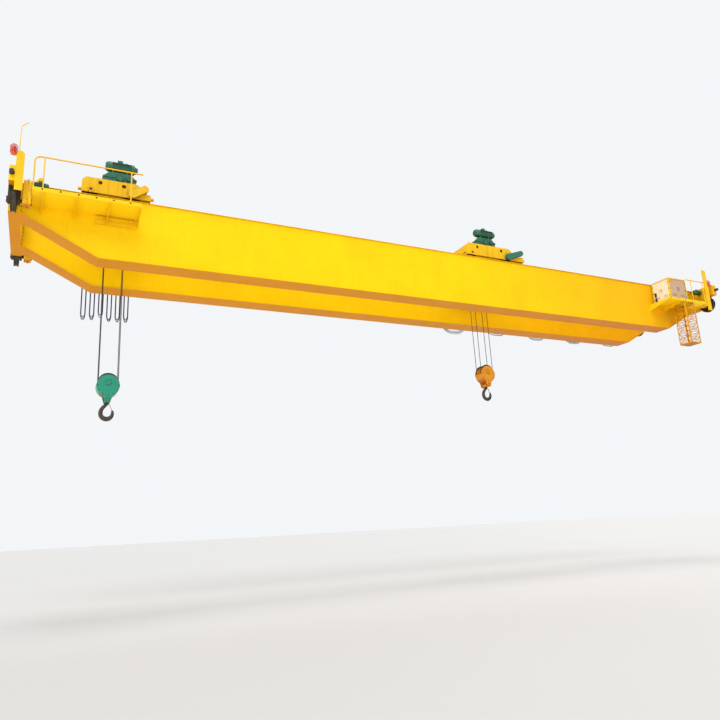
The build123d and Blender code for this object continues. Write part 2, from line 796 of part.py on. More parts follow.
def railing(end, side, deck_top, outer, inner):
    """Posts and a top rail that bends down at its outer end, from outer to inner along X."""
    edge_y = side * (DECK_EDGE - TOE_PLATE - RAILING_TUBE)
    rail_z = deck_top + RAILING_HEIGHT
    first = end * (outer - RAILING_TUBE)
    posts = [first - end * POST_PAIR, end * (inner + RAILING_TAIL)]
    if outer - inner < 2 * RAILING_TAIL:
        posts = [end * (inner + RAILING_TUBE)]
    with BuildPart() as rail:
        with BuildLine():
            route = FilletPolyline(
                (first, edge_y, deck_top),
                (first, edge_y, rail_z),
                (end * inner, edge_y, rail_z),
                radius=RAILING_BEND,
            )
        with BuildSketch(Plane(origin=route @ 0, z_dir=route % 0)):
            Circle(RAILING_TUBE)
        sweep()
        with BuildSketch(Plane.XY.offset(deck_top)):
            for post_x in posts:
                with Locations((post_x, edge_y)):
                    Circle(POST_TUBE)
        extrude(amount=RAILING_HEIGHT)
    return rail.part


def cabinet_middle():
    """Middle of the control cabinet, in X and Y."""
    back_y = -(GIRDER_Y + FLANGE_WIDTH / 2 + SEAT_CLEAR + FRAME_ANGLE_PLATE + FRAME_ANGLE_GAP)
    return (CABINET_LEFT + CABINET_LENGTH / 2, back_y - CABINET_DEPTH / 2)


def cabinet_frame():
    """Angle posts and top angles round the control cabinet, a little way off its walls."""
    wide = CABINET_LENGTH + 2 * FRAME_ANGLE_GAP
    deep = CABINET_DEPTH + 2 * FRAME_ANGLE_GAP
    high = CABINET_HEIGHT + CABINET_ROOF
    with BuildPart() as frame:
        for bottom, posts_only in ((0, True), (high - FRAME_ANGLE, False)):
            with BuildSketch(Plane.XY.offset(RIGHT_DECK_TOP + bottom)):
                with Locations(cabinet_middle()):
                    Rectangle(wide + 2 * FRAME_ANGLE_PLATE, deep + 2 * FRAME_ANGLE_PLATE)
                    Rectangle(wide, deep, mode=Mode.SUBTRACT)
                    if posts_only:
                        Rectangle(wide - 2 * FRAME_ANGLE, 2 * deep, mode=Mode.SUBTRACT)
                        Rectangle(2 * wide, deep - 2 * FRAME_ANGLE, mode=Mode.SUBTRACT)
            extrude(amount=high - bottom)
    return frame.part


def railings():
    """Railings along the outer edges of the walkways, and the frame round the cabinet."""
    far_end = DECK_START - FAR_DECK_LENGTH
    near = [
        railing(LEFT, NEAR, LEFT_DECK_TOP, DECK_START, DECK_START - LEFT_DECK_LENGTH),
        railing(RIGHT, NEAR, RIGHT_DECK_TOP, DECK_START, CABINET_RIGHT + 2 * FRAME_ANGLE),
        cabinet_frame(),
    ]
    far = [
        railing(LEFT, FAR, LEFT_DECK_TOP, DECK_START, far_end),
        railing(RIGHT, FAR, RIGHT_DECK_TOP, DECK_START, far_end),
    ]
    save(joined(near), "railings_near")
    save(joined(far), "railings_far")


def cabinet_doors():
    """Two door leaves on each of the left and the near face, with vents low in each leaf."""
    middle_x, middle_y = cabinet_middle()
    leaf_height = CABINET_HEIGHT - PLINTH_HEIGHT - 2 * DOOR_MARGIN
    leaf_z = RIGHT_DECK_TOP + PLINTH_HEIGHT + DOOR_MARGIN + leaf_height / 2
    left_face = Plane(origin=(CABINET_LEFT, middle_y, leaf_z), x_dir=(0, -1, 0), z_dir=(-1, 0, 0))
    near_y = middle_y - CABINET_DEPTH / 2
    near_face = Plane(origin=(middle_x, near_y, leaf_z), x_dir=(1, 0, 0), z_dir=(0, -1, 0))
    with BuildPart() as doors:
        for face, width in ((left_face, CABINET_DEPTH), (near_face, CABINET_LENGTH)):
            leaf = (width - 2 * DOOR_MARGIN - DOOR_GAP) / 2
            with BuildSketch(face):
                with GridLocations(leaf + DOOR_GAP, 0, 2, 1):
                    RectangleRounded(leaf, leaf_height, CABINET_ROUND)
                    with Locations((0, VENT_PITCH * VENT_COUNT - leaf_height / 2)):
                        with GridLocations(0, VENT_PITCH, 1, VENT_COUNT):
                            SlotOverall(leaf / 2, VENT_HEIGHT, mode=Mode.SUBTRACT)
            extrude(amount=DOOR_PLATE)
    return doors.part


def control_cabinet():
    """Electrical cabinet on the right near walkway: plinth, body, doors and a roof with eaves."""
    body_top = RIGHT_DECK_TOP + CABINET_HEIGHT
    with BuildPart() as cabinet:
        with BuildSketch(Plane.XY.offset(RIGHT_DECK_TOP)):
            with Locations(cabinet_middle()):
                Rectangle(CABINET_LENGTH - 2 * PLINTH_INSET, CABINET_DEPTH - 2 * PLINTH_INSET)
        extrude(amount=PLINTH_HEIGHT)
        with BuildSketch(Plane.XY.offset(RIGHT_DECK_TOP + PLINTH_HEIGHT)):
            with Locations(cabinet_middle()):
                RectangleRounded(CABINET_LENGTH, CABINET_DEPTH, CABINET_ROUND)
        extrude(amount=CABINET_HEIGHT - PLINTH_HEIGHT)
        with BuildSketch(Plane.XY.offset(body_top)):
            with Locations(cabinet_middle()):
                RectangleRounded(CABINET_LENGTH + CABINET_EAVE, CABINET_DEPTH + CABINET_EAVE, CABINET_ROUND)
        extrude(amount=CABINET_ROOF / 2)
        with BuildSketch(Plane.XY.offset(body_top + CABINET_ROOF / 2)):
            with Locations(cabinet_middle()):
                RectangleRounded(CABINET_LENGTH, CABINET_DEPTH, CABINET_ROUND)
        extrude(amount=CABINET_ROOF / 2)
        add(cabinet_doors())
    save(cabinet.part, "control_cabinet")


def cage_side(width, side_plane):
    """One side of the cage: rungs between the tiers and a crossed pair of bars in each tier."""
    tier = (CAGE_HEIGHT - CAGE_FLOOR) / CAGE_TIERS
    slant = degrees(atan2(tier, width))
    with BuildPart() as side:
        with BuildSketch(side_plane):
            for number in range(CAGE_TIERS):
                with Locations((0, CAGE_FLOOR + (number + 0.5) * tier)):
                    for turn in (slant, -slant):
                        Rectangle(hypot(width, tier), CAGE_BAR, rotation=turn)
                with Locations((0, CAGE_FLOOR + (number + 1) * tier - CAGE_BAR / 2)):
                    Rectangle(width, CAGE_BAR)
            with Locations((0, CAGE_HEIGHT / 2)):
                Rectangle(width, CAGE_HEIGHT, mode=Mode.INTERSECT)
        extrude(amount=CAGE_ANGLE_PLATE / 2, both=True)
    return side.part


def inspection_cage():
    """Lattice cage hung under the right near walkway, with angle posts and open at the top."""
    bottom_z = RIGHT_DECK_TOP - DECK_PLATE - CAGE_HEIGHT
    middle_x, middle_y = cage_middle()
    inner_x = CAGE_LENGTH - 2 * CAGE_ANGLE_PLATE
    inner_y = CAGE_DEPTH - 2 * CAGE_ANGLE_PLATE
    with BuildPart() as cage:
        with BuildSketch(Plane.XY.offset(bottom_z)):
            with Locations((middle_x, middle_y)):
                Rectangle(CAGE_LENGTH, CAGE_DEPTH)
                Rectangle(inner_x, inner_y, mode=Mode.SUBTRACT)
                Rectangle(CAGE_LENGTH - 2 * CAGE_ANGLE, 2 * CAGE_DEPTH, mode=Mode.SUBTRACT)
                Rectangle(2 * CAGE_LENGTH, CAGE_DEPTH - 2 * CAGE_ANGLE, mode=Mode.SUBTRACT)
        extrude(amount=CAGE_HEIGHT)
        with BuildSketch(Plane.XY.offset(bottom_z)):
            with Locations((middle_x, middle_y)):
                Rectangle(CAGE_LENGTH, CAGE_DEPTH)
        extrude(amount=CAGE_FLOOR)
        for way in (-1, 1):
            across = Plane(
                origin=(middle_x + way * (CAGE_LENGTH - CAGE_ANGLE_PLATE) / 2, middle_y, bottom_z),
                x_dir=(0, 1, 0),
                z_dir=(1, 0, 0),
            )
            along = Plane(
                origin=(middle_x, middle_y + way * (CAGE_DEPTH - CAGE_ANGLE_PLATE) / 2, bottom_z),
                x_dir=(1, 0, 0),
                z_dir=(0, -1, 0),
            )
            add([cage_side(inner_y, across), cage_side(inner_x, along)])
    save(cage.part, "inspection_cage")


def upright(left_x, back_y, bottom, top):
    """Folded channel with a cut corner, open to the back."""
    with BuildPart() as channel:
        with BuildSketch(Plane.XZ.offset(-back_y)):
            with BuildLine():
                Polyline(
                    (left_x, bottom),
                    (left_x + UPRIGHT_WIDTH, bottom),
                    (left_x + UPRIGHT_WIDTH, top - UPRIGHT_CHAMFER),
                    (left_x + UPRIGHT_WIDTH - UPRIGHT_CHAMFER, top),
                    (left_x, top),
                    close=True,
                )
            make_face()
        extrude(amount=UPRIGHT_DEPTH)
        with BuildSketch(Plane.XZ.offset(-back_y)):
            with Locations((left_x + UPRIGHT_WIDTH / 2, (bottom + NOTCH_TOP) / 2)):
                Rectangle(UPRIGHT_WIDTH - 2 * UPRIGHT_PLATE, NOTCH_TOP - bottom)
        extrude(amount=UPRIGHT_DEPTH - UPRIGHT_PLATE, mode=Mode.SUBTRACT)
    return channel.part


def lamp_shelf(edge_x, side, middle_y, lamp_z):
    """Small plate from the edge of an upright to under its lamp."""
    with BuildPart() as shelf:
        with BuildSketch(Plane.XY.offset(lamp_z - LAMP_SHELF)):
            with Locations((edge_x + side * LAMP_RADIUS, middle_y)):
                Rectangle(2 * LAMP_RADIUS, UPRIGHT_DEPTH - 2 * UPRIGHT_PLATE)
        extrude(amount=LAMP_SHELF)
    return shelf.part


def conduit(foot_x, foot_y):
    """Thin pipe that rises from the left upright and bends over at the top."""
    bend_z = LEFT_UPRIGHT_TOP + CONDUIT_RISE
    with BuildPart() as pipe:
        with BuildLine():
            route = FilletPolyline(
                (foot_x, foot_y, LEFT_UPRIGHT_TOP),
                (foot_x, foot_y, bend_z),
                (foot_x + CONDUIT_REACH, foot_y, bend_z + CONDUIT_REACH),
                radius=CONDUIT_BEND,
            )
        with BuildSketch(Plane(origin=route @ 0, z_dir=route % 0)):
            Circle(CONDUIT_RADIUS)
        sweep()
    return pipe.part


def lamp_posts():
    """Channel upright at the near end of each side, carrying a warning lamp on a small shelf."""
    left_y = -CARRIAGE_HALF
    left_x = -GIRDER_END - LEFT_UPRIGHT_OVERLAP
    left_middle = left_y - UPRIGHT_DEPTH / 2
    right_y = -DECK_EDGE - SEAT_CLEAR
    right_x = DECK_START - RIGHT_UPRIGHT_INSET
    right_middle = right_y - UPRIGHT_DEPTH / 2
    posts = [
        upright(left_x, left_y, LEFT_UPRIGHT_BOTTOM, LEFT_UPRIGHT_TOP),
        lamp_shelf(left_x, LEFT, left_middle, LEFT_LAMP_Z),
        conduit(left_x + CONDUIT_FOOT, left_middle),
        upright(right_x - UPRIGHT_WIDTH, right_y, RIGHT_UPRIGHT_BOTTOM, RIGHT_UPRIGHT_TOP),
        lamp_shelf(right_x, RIGHT, right_middle, RIGHT_LAMP_Z),
    ]
    save(joined(posts), "lamp_posts")
    profile = [
        (0, 0),
        (LAMP_RADIUS, 0),
        (LAMP_RADIUS, LAMP_BASE),
        (LAMP_GLASS, LAMP_BASE),
        (LAMP_GLASS, LAMP_HEIGHT - LAMP_DOME),
        (LAMP_GLASS - LAMP_DOME / 4, LAMP_HEIGHT - LAMP_DOME / 2),
        (LAMP_GLASS / 2, LAMP_HEIGHT - LAMP_DOME / 8),
        (0, LAMP_HEIGHT),
    ]
    lamps = [
        turned(profile, (left_x - LAMP_RADIUS, left_middle, LEFT_LAMP_Z), (0, 0, 1)),
        turned(profile, (right_x + LAMP_RADIUS, right_middle, RIGHT_LAMP_Z), (0, 0, 1)),
    ]
    save(joined(lamps), "warning_lamps")


def side_frame_outline(left_x, right_x, shelf):
    """Side view of a trolley side frame in X and Z, full height and then stepped down to a shelf."""
    return [
        (left_x, SIDE_FRAME_BOTTOM),
        (right_x + shelf, SIDE_FRAME_BOTTOM),
        (right_x + shelf, SHELF_TOP),
        (right_x, SHELF_TOP),
        (right_x, SIDE_FRAME_TOP - SHELF_SLOPE),
        (right_x - SHELF_SLOPE, SIDE_FRAME_TOP),
        (left_x + SHELF_SLOPE, SIDE_FRAME_TOP),
        (left_x, SIDE_FRAME_TOP - SHELF_SLOPE),
    ]


def side_frame(side, left_x, right_x, shelf):
    """Hollow side frame over one rail, open below for its wheels, with round hand holes."""
    middle = Plane.XZ.offset(-side * GIRDER_Y)
    outline = side_frame_outline(left_x, right_x, shelf)
    with BuildPart() as frame:
        with BuildSketch(middle):
            with BuildLine():
                Polyline(*outline, close=True)
            make_face()
        extrude(amount=SIDE_FRAME_WIDTH / 2, both=True)
        with BuildSketch(Plane.XY.offset(SIDE_FRAME_BOTTOM)):
            with Locations(((left_x + right_x + shelf) / 2, side * GIRDER_Y)):
                Rectangle(right_x + shelf - left_x, SIDE_FRAME_WIDTH + 2 * SIDE_FRAME_EDGE)
        extrude(amount=SIDE_FRAME_EDGE_PLATE)
        with BuildSketch(middle):
            with BuildLine():
                Polyline(*outline, close=True)
            make_face()
            offset(amount=-FRAME_PLATE, kind=Kind.INTERSECTION)
        extrude(amount=SIDE_FRAME_WIDTH / 2 - FRAME_PLATE, both=True, mode=Mode.SUBTRACT)
        with BuildSketch(Plane.XY.offset(SIDE_FRAME_BOTTOM)):
            with Locations(((left_x + right_x + shelf) / 2, side * GIRDER_Y)):
                Rectangle(right_x + shelf - left_x - 2 * FRAME_PLATE, SIDE_FRAME_WIDTH - 2 * FRAME_PLATE)
        extrude(amount=2 * FRAME_PLATE, mode=Mode.SUBTRACT)
        with BuildSketch(middle):
            for axle_x in (left_x + AXLE_INSET, right_x - AXLE_INSET):
                with Locations((axle_x, TROLLEY_AXLE_Z)):
                    Circle(BEARING_RING)
        extrude(amount=SIDE_FRAME_WIDTH / 2 + BEARING_RING_THICK, both=True)
        with BuildSketch(middle):
            for axle_x in (left_x + AXLE_INSET, right_x - AXLE_INSET):
                with Locations((axle_x, TROLLEY_AXLE_Z)):
                    Circle(TROLLEY_WHEEL + TROLLEY_FLANGE + SIDE_CLEAR)
        extrude(amount=SIDE_FRAME_WIDTH / 2 - FRAME_PLATE, both=True, mode=Mode.SUBTRACT)
        with BuildSketch(middle):
            for axle_x in (left_x + AXLE_INSET, right_x - AXLE_INSET):
                with Locations((axle_x, TROLLEY_AXLE_Z)):
                    Circle(TROLLEY_AXLE + RUN_CLEAR)
            for hole_x in (left_x + ROUND_HOLE_INSET, right_x - ROUND_HOLE_INSET):
                with Locations((hole_x, ROUND_HOLE_Z)):
                    Circle(ROUND_HOLE)
        extrude(amount=SIDE_FRAME_WIDTH, both=True, mode=Mode.SUBTRACT)
    return frame.part


def trolley_deck(middle, left_x, right_x):
    """Cross beams at both ends and a deck plate with the opening for the ropes."""
    across = GIRDER_SPACING - SIDE_FRAME_WIDTH
    beam_inset = SHELF_SLOPE + CROSS_BEAM_WIDTH / 2
    with BuildPart() as top:
        with BuildSketch(Plane.XY.offset(SIDE_FRAME_TOP - CROSS_BEAM_HEIGHT)):
            for beam_x in (left_x + beam_inset, right_x - beam_inset):
                with Locations((beam_x, 0)):
                    Rectangle(CROSS_BEAM_WIDTH, across)
        extrude(amount=CROSS_BEAM_HEIGHT)
        with BuildSketch(Plane.XY.offset(SIDE_FRAME_TOP - FRAME_PLATE)):
            with Locations(((left_x + right_x) / 2, 0)):
                Rectangle(right_x - left_x - 2 * SHELF_SLOPE, across)
            with Locations((middle, 0)):
                Rectangle(
                    2 * (FALL_X + OPENING_MARGIN),
                    2 * (DRUM_HALF + OPENING_MARGIN) - STAND_THICK,
                    mode=Mode.SUBTRACT,
                )
        extrude(amount=FRAME_PLATE)
    return top.part


def sheave_hanger(middle):
    """Beam across the rope opening with two plates down to the equalising sheave's pin."""
    hanger_x = middle + FALL_X
    gap = SHEAVE_WIDTH + 2 * SIDE_CLEAR
    with BuildPart() as hanger:
        with BuildSketch(Plane.XY.offset(SIDE_FRAME_TOP - HANGER_BEAM)):
            with Locations((hanger_x, 0)):
                Rectangle(gap + 2 * HANGER_PLATE, 2 * DRUM_HALF + 2 * OPENING_MARGIN)
        extrude(amount=HANGER_BEAM)
        for flank in (-1, 1):
            with BuildSketch(Plane.YZ.offset(hanger_x + flank * (gap + HANGER_PLATE) / 2)):
                with BuildLine():
                    Polyline(
                        (-2 * EQUALISER_PIN, EQUALISER_Z),
                        (2 * EQUALISER_PIN, EQUALISER_Z),
                        (4 * EQUALISER_PIN, SIDE_FRAME_TOP - HANGER_BEAM),
                        (-4 * EQUALISER_PIN, SIDE_FRAME_TOP - HANGER_BEAM),
                        close=True,
                    )
                make_face()
                with Locations((0, EQUALISER_Z)):
                    Circle(2 * EQUALISER_PIN)
                    Circle(EQUALISER_PIN + RUN_CLEAR, mode=Mode.SUBTRACT)
            extrude(amount=HANGER_PLATE / 2, both=True)
    return hanger.part


def drum_stand(middle):
    """Pedestal bearing for the drum's far shaft."""
    with BuildPart() as stand:
        with BuildSketch(Plane.XZ.offset(-(DRUM_HALF + DRUM_DISC + DRUM_STUB / 2))):
            with Locations((middle, DRUM_Z)):
                Circle(STAND_HEAD)
            with BuildLine():
                Polyline(
                    (middle - STAND_FOOT / 2, SIDE_FRAME_TOP),
                    (middle + STAND_FOOT / 2, SIDE_FRAME_TOP),
                    (middle + STAND_HEAD, DRUM_Z),
                    (middle - STAND_HEAD, DRUM_Z),
                    close=True,
                )
            make_face()
            with Locations((middle, DRUM_Z)):
                Circle(DRUM_SHAFT + RUN_CLEAR, mode=Mode.SUBTRACT)
        extrude(amount=STAND_THICK / 2, both=True)
    return stand.part


def tow_arm(arm_x):
    """Cranked arm from the far side frame round the cable track to the first cable clamp."""
    start_y = GIRDER_Y + SIDE_FRAME_WIDTH / 2
    arm_y = TRACK_Y + TRACK_WIDTH / 2 + ARM_BAR
    with BuildPart() as arm:
        with BuildSketch(Plane.YZ.offset(arm_x)):
            with BuildLine():
                Polyline(
                    (start_y, ARM_HEIGHT),
                    (arm_y + ARM_BAR, ARM_HEIGHT),
                    (arm_y + ARM_BAR, SADDLE_Z - CABLE_RADIUS),
                    (TRACK_Y - CABLE_RADIUS, SADDLE_Z - CABLE_RADIUS),
                    (TRACK_Y - CABLE_RADIUS, SADDLE_Z + CABLE_RADIUS),
                    (arm_y, SADDLE_Z + CABLE_RADIUS),
                    (arm_y, ARM_HEIGHT - ARM_BAR),
                    (start_y, ARM_HEIGHT - ARM_BAR),
                    close=True,
                )
            make_face()
        extrude(amount=ARM_BAR / 2, both=True)
    return arm.part


def trolley_bumpers(left_x, right_x):
    """Round bumpers at both ends of both side frames, level with the rail stops."""
    bumper_z = GIRDER_TOP + STOP_HEIGHT - 2 * BUMPER_RADIUS
    bumpers = []
    for side in TWIN_SIDES:
        for end, face_x in ((LEFT, left_x), (RIGHT, right_x)):
            face_middle = (face_x, side * GIRDER_Y, bumper_z)
            bumpers.append(disc(face_middle, (end, 0, 0), BUMPER_RADIUS, BUMPER_LENGTH))
    return joined(bumpers)


def trolley_frame(middle, left_x, right_x, shelf, arm_x, name):
    """Welded frame of one trolley."""
    with BuildPart() as frame:
        add(
            [
                side_frame(NEAR, left_x, right_x, shelf),
                side_frame(FAR, left_x, right_x, shelf),
                trolley_deck(middle, left_x, right_x),
                sheave_hanger(middle),
                drum_stand(middle),
                tow_arm(arm_x),
                trolley_bumpers(left_x, right_x + shelf),
            ]
        )
    save(frame.part, f"{name}_frame")


def trolley_wheels(left_x, right_x, name):
    """Four double-flanged trolley wheels with their axles."""
    half_tread = RAIL_HEAD / 2 + SIDE_CLEAR
    reach = SIDE_FRAME_WIDTH / 2 + AXLE_END
    profile = wheel_profile(
        TROLLEY_WHEEL, TROLLEY_FLANGE, half_tread, TROLLEY_WHEEL_WEB, TROLLEY_AXLE, reach, reach
    )
    wheels = []
    for side in TWIN_SIDES:
        for axle_x in (left_x + AXLE_INSET, right_x - AXLE_INSET):
            wheels.append(turned(profile, (axle_x, side * GIRDER_Y, TROLLEY_AXLE_Z), (0, side, 0)))
    save(joined(wheels), f"{name}_wheels")


def cross_drive(right_x, shelf, name):
    """Reducer on the near side frame's driven axle, with its motor over the shelf."""
    face_y = -(GIRDER_Y + SIDE_FRAME_WIDTH / 2 + BEARING_RING_THICK + SEAT_CLEAR)
    motor_x = right_x + shelf - CROSS_MOTOR_INSET
    motor_z = SHELF_TOP + CROSS_MOTOR_RISE
    case = gear_case(
        (right_x - AXLE_INSET, TROLLEY_AXLE_Z),
        (motor_x, motor_z),
        CROSS_CASE_LOWER,
        CROSS_CASE_UPPER,
        CROSS_CASE_THICK,
        CROSS_CASE_RIM,
        CROSS_CASE_RIM_THICK,
        Plane.XZ.offset(-(face_y - CROSS_CASE_THICK / 2)),
    )
    engine = motor((motor_x, face_y, motor_z), (0, 1, 0), CROSS_MOTOR_RADIUS, CROSS_MOTOR_LENGTH)
    save(joined([case, engine]), f"{name}_travel_drive")


def sheave_profile(pitch_radius, bore):
    """Half section of a rope sheave, as radius against width, with a round-bottomed groove."""
    groove = ROPE_RADIUS + GROOVE_CLEAR
    rim = pitch_radius + RIM_RISE
    half = SHEAVE_WIDTH / 2
    web = SHEAVE_DISC / 2
    return [
        (bore, -half),
        (bore + HUB_WALL, -half),
        (bore + HUB_WALL, -web),
        (pitch_radius - 2 * ROPE_RADIUS, -web),
        (pitch_radius - ROPE_RADIUS, -groove - RIM_WALL),
        (rim, -groove - RIM_WALL),
        (rim, -groove),
        (pitch_radius - groove / 2, -groove),
        (pitch_radius - groove, -groove / 2),
        (pitch_radius - groove, groove / 2),
        (pitch_radius - groove / 2, groove),
        (rim, groove),
        (rim, groove + RIM_WALL),
        (pitch_radius - ROPE_RADIUS, groove + RIM_WALL),
        (pitch_radius - 2 * ROPE_RADIUS, web),
        (bore + HUB_WALL, web),
        (bore + HUB_WALL, half),
        (bore, half),
    ]


def hoist_drum(middle, name):
    """Grooved hollow rope drum across the trolley, with end flanges and a stub shaft at each end."""
    rim = FALL_X - ROPE_RADIUS / 2
    root = FALL_X - ROPE_RADIUS - GROOVE_CLEAR - GROOVE_PITCH / 8
    outer = [(rim, DRUM_HALF)]
    for number in reversed(range(GROOVES)):
        groove_y = FALL_Y + (number - GROOVES_INSIDE) * GROOVE_PITCH
        outer += [(rim, groove_y + GROOVE_PITCH / 2), (root, groove_y)]
    outer.append((rim, FALL_Y - (GROOVES_INSIDE + 0.5) * GROOVE_PITCH))
    mirrored = [(radius, -along) for radius, along in reversed(outer)]
    shell = [*outer, *mirrored, (rim - DRUM_WALL, -DRUM_HALF), (rim - DRUM_WALL, DRUM_HALF)]
    shaft_end = DRUM_HALF + DRUM_DISC + DRUM_STUB
    flange = [
        (0, DRUM_HALF),
        (FALL_X + DRUM_FLANGE, DRUM_HALF),
        (FALL_X + DRUM_FLANGE, DRUM_HALF + DRUM_DISC),
        (2 * DRUM_SHAFT, DRUM_HALF + DRUM_DISC),
        (DRUM_SHAFT, DRUM_HALF + 2 * DRUM_DISC),
        (DRUM_SHAFT, shaft_end),
        (0, shaft_end),
    ]
    centre = (middle, 0, DRUM_Z)
    pieces = [
        turned(shell, centre, (0, 1, 0)),
        turned(flange, centre, (0, 1, 0)),
        turned(flange, centre, (0, -1, 0)),
    ]
    save(joined(pieces), f"{name}_drum")


def winch_case(middle, case_y, case_top, name):
    """Winch gear case: foot, split rim, ribs, bearing covers and an inspection lid."""
    outer_y = case_y - CASE_THICK / 2
    with BuildPart() as case:
        with BuildSketch(Plane.XZ.offset(-case_y)) as body:
            with BuildLine():
                Polyline(
                    (middle - CASE_HALF, SIDE_FRAME_TOP),
                    (middle + CASE_HALF, SIDE_FRAME_TOP),
                    (middle + CASE_HALF, DRUM_Z),
                    (middle + CASE_HALF - CASE_RISE, case_top),
                    (middle - CASE_HALF + CASE_RISE, case_top),
                    (middle - CASE_HALF, DRUM_Z),
                    close=True,
                )
            make_face()
            fillet(body.vertices().filter_by_position(Axis.Y, DRUM_Z - 1, case_top + 1), radius=CASE_ROUND)
        extrude(amount=CASE_THICK / 2, both=True)
        for level, high in ((SIDE_FRAME_TOP, CASE_FOOT), (DRUM_Z - CASE_RIM_THICK, CASE_RIM_THICK)):
            with BuildSketch(Plane.XY.offset(level)):
                with Locations((middle, case_y - CASE_RIM / 2)):
                    Rectangle(2 * (CASE_HALF + CASE_RIM), CASE_THICK + CASE_RIM)
            extrude(amount=high)
        with BuildSketch(Plane.XZ.offset(-outer_y)):
            for rib_x in (middle, middle + CASE_INPUT_X, middle - CASE_INPUT_X):
                with Locations((rib_x, (SIDE_FRAME_TOP + DRUM_Z) / 2)):
                    Rectangle(CASE_RIB, DRUM_Z - SIDE_FRAME_TOP)
        extrude(amount=CASE_RIM)
        with BuildSketch(Plane.XZ.offset(-outer_y)):
            with Locations((middle, DRUM_Z - CASE_RIM_THICK / 2)):
                Circle(CASE_COVER)
            with Locations((middle + CASE_INPUT_X, DRUM_Z - CASE_RIM_THICK / 2)):
                Circle(CASE_INPUT_COVER)
        extrude(amount=CASE_RIM + CASE_COVER_THICK)
        with BuildSketch(Plane.XY.offset(case_top)):
            with Locations((middle, case_y)):
                Rectangle(CASE_LID, CASE_THICK - 2 * CASE_LID_THICK)
        extrude(amount=CASE_LID_THICK)
    save(case.part, f"{name}_gearbox")


def hoist_drive(middle, name):
    """Gear case at the near end of the drum, with the hoist motor on feet above it."""
    case_y = -(DRUM_HALF + DRUM_DISC + DRUM_STUB + CASE_THICK / 2)
    case_top = DRUM_Z + CASE_RISE
    winch_case(middle, case_y, case_top, name)
    motor_z = case_top + HOIST_MOTOR_GAP + HOIST_MOTOR_RADIUS
    foot_top = motor_z - HOIST_MOTOR_RADIUS / 2
    motor_face = (middle + HOIST_MOTOR_HALF, case_y, motor_z)
    with BuildPart() as engine:
        add(motor(motor_face, (-1, 0, 0), HOIST_MOTOR_RADIUS, 2 * HOIST_MOTOR_HALF))
        with BuildSketch(Plane.XY.offset(case_top)):
            with Locations((middle, case_y)):
                with GridLocations(HOIST_MOTOR_HALF, 0, 2, 1):
                    Rectangle(HOIST_MOTOR_FOOT, CASE_THICK)
        extrude(amount=foot_top - case_top)
    save(engine.part, f"{name}_hoist_motor")


def upper_sheave(middle, name):
    """Equalising sheave on its pin under the deck."""
    centre = (middle + FALL_X, 0, EQUALISER_Z)
    pin_half = SHEAVE_WIDTH / 2 + SIDE_CLEAR + HANGER_PLATE
    profile = sheave_profile(FALL_Y, EQUALISER_PIN)
    pin = [(0, -pin_half), (EQUALISER_PIN, -pin_half), (EQUALISER_PIN, pin_half), (0, pin_half)]
    pieces = [turned(profile, centre, (1, 0, 0)), turned(pin, centre, (1, 0, 0))]
    save(joined(pieces), f"{name}_equaliser")


def ropes(middle, axle_z, name):
    """Four straight falls between the trolley and its hook block."""
    with BuildPart() as falls:
        for fall_x, top_z in ((-FALL_X, DRUM_Z), (FALL_X, EQUALISER_Z)):
            with BuildSketch(Plane.XY.offset(axle_z)):
                with Locations((middle + fall_x, -FALL_Y), (middle + fall_x, FALL_Y)):
                    Circle(ROPE_RADIUS)
            extrude(amount=top_z - axle_z)
    save(falls.part, f"{name}_ropes")


def cheek_outline(middle, axle_z):
    """Closed line of a cheek plate: a disc below the axle that narrows to a neck."""
    disc_z = axle_z - CHEEK_DROP
    neck_z = axle_z - NECK_BOTTOM
    with BuildSketch() as outline:
        with Locations((middle, disc_z)):
            Circle(CHEEK_RADIUS)
        with BuildLine():
            Polyline(
                (middle - NECK_START, disc_z),
                (middle + NECK_START, disc_z),
                (middle + NECK_START, disc_z - CHEEK_RADIUS),
                (middle + NECK_END, neck_z),
                (middle - NECK_END, neck_z),
                (middle - NECK_START, disc_z - CHEEK_RADIUS),
                close=True,
            )
        make_face()
    return outline.sketch


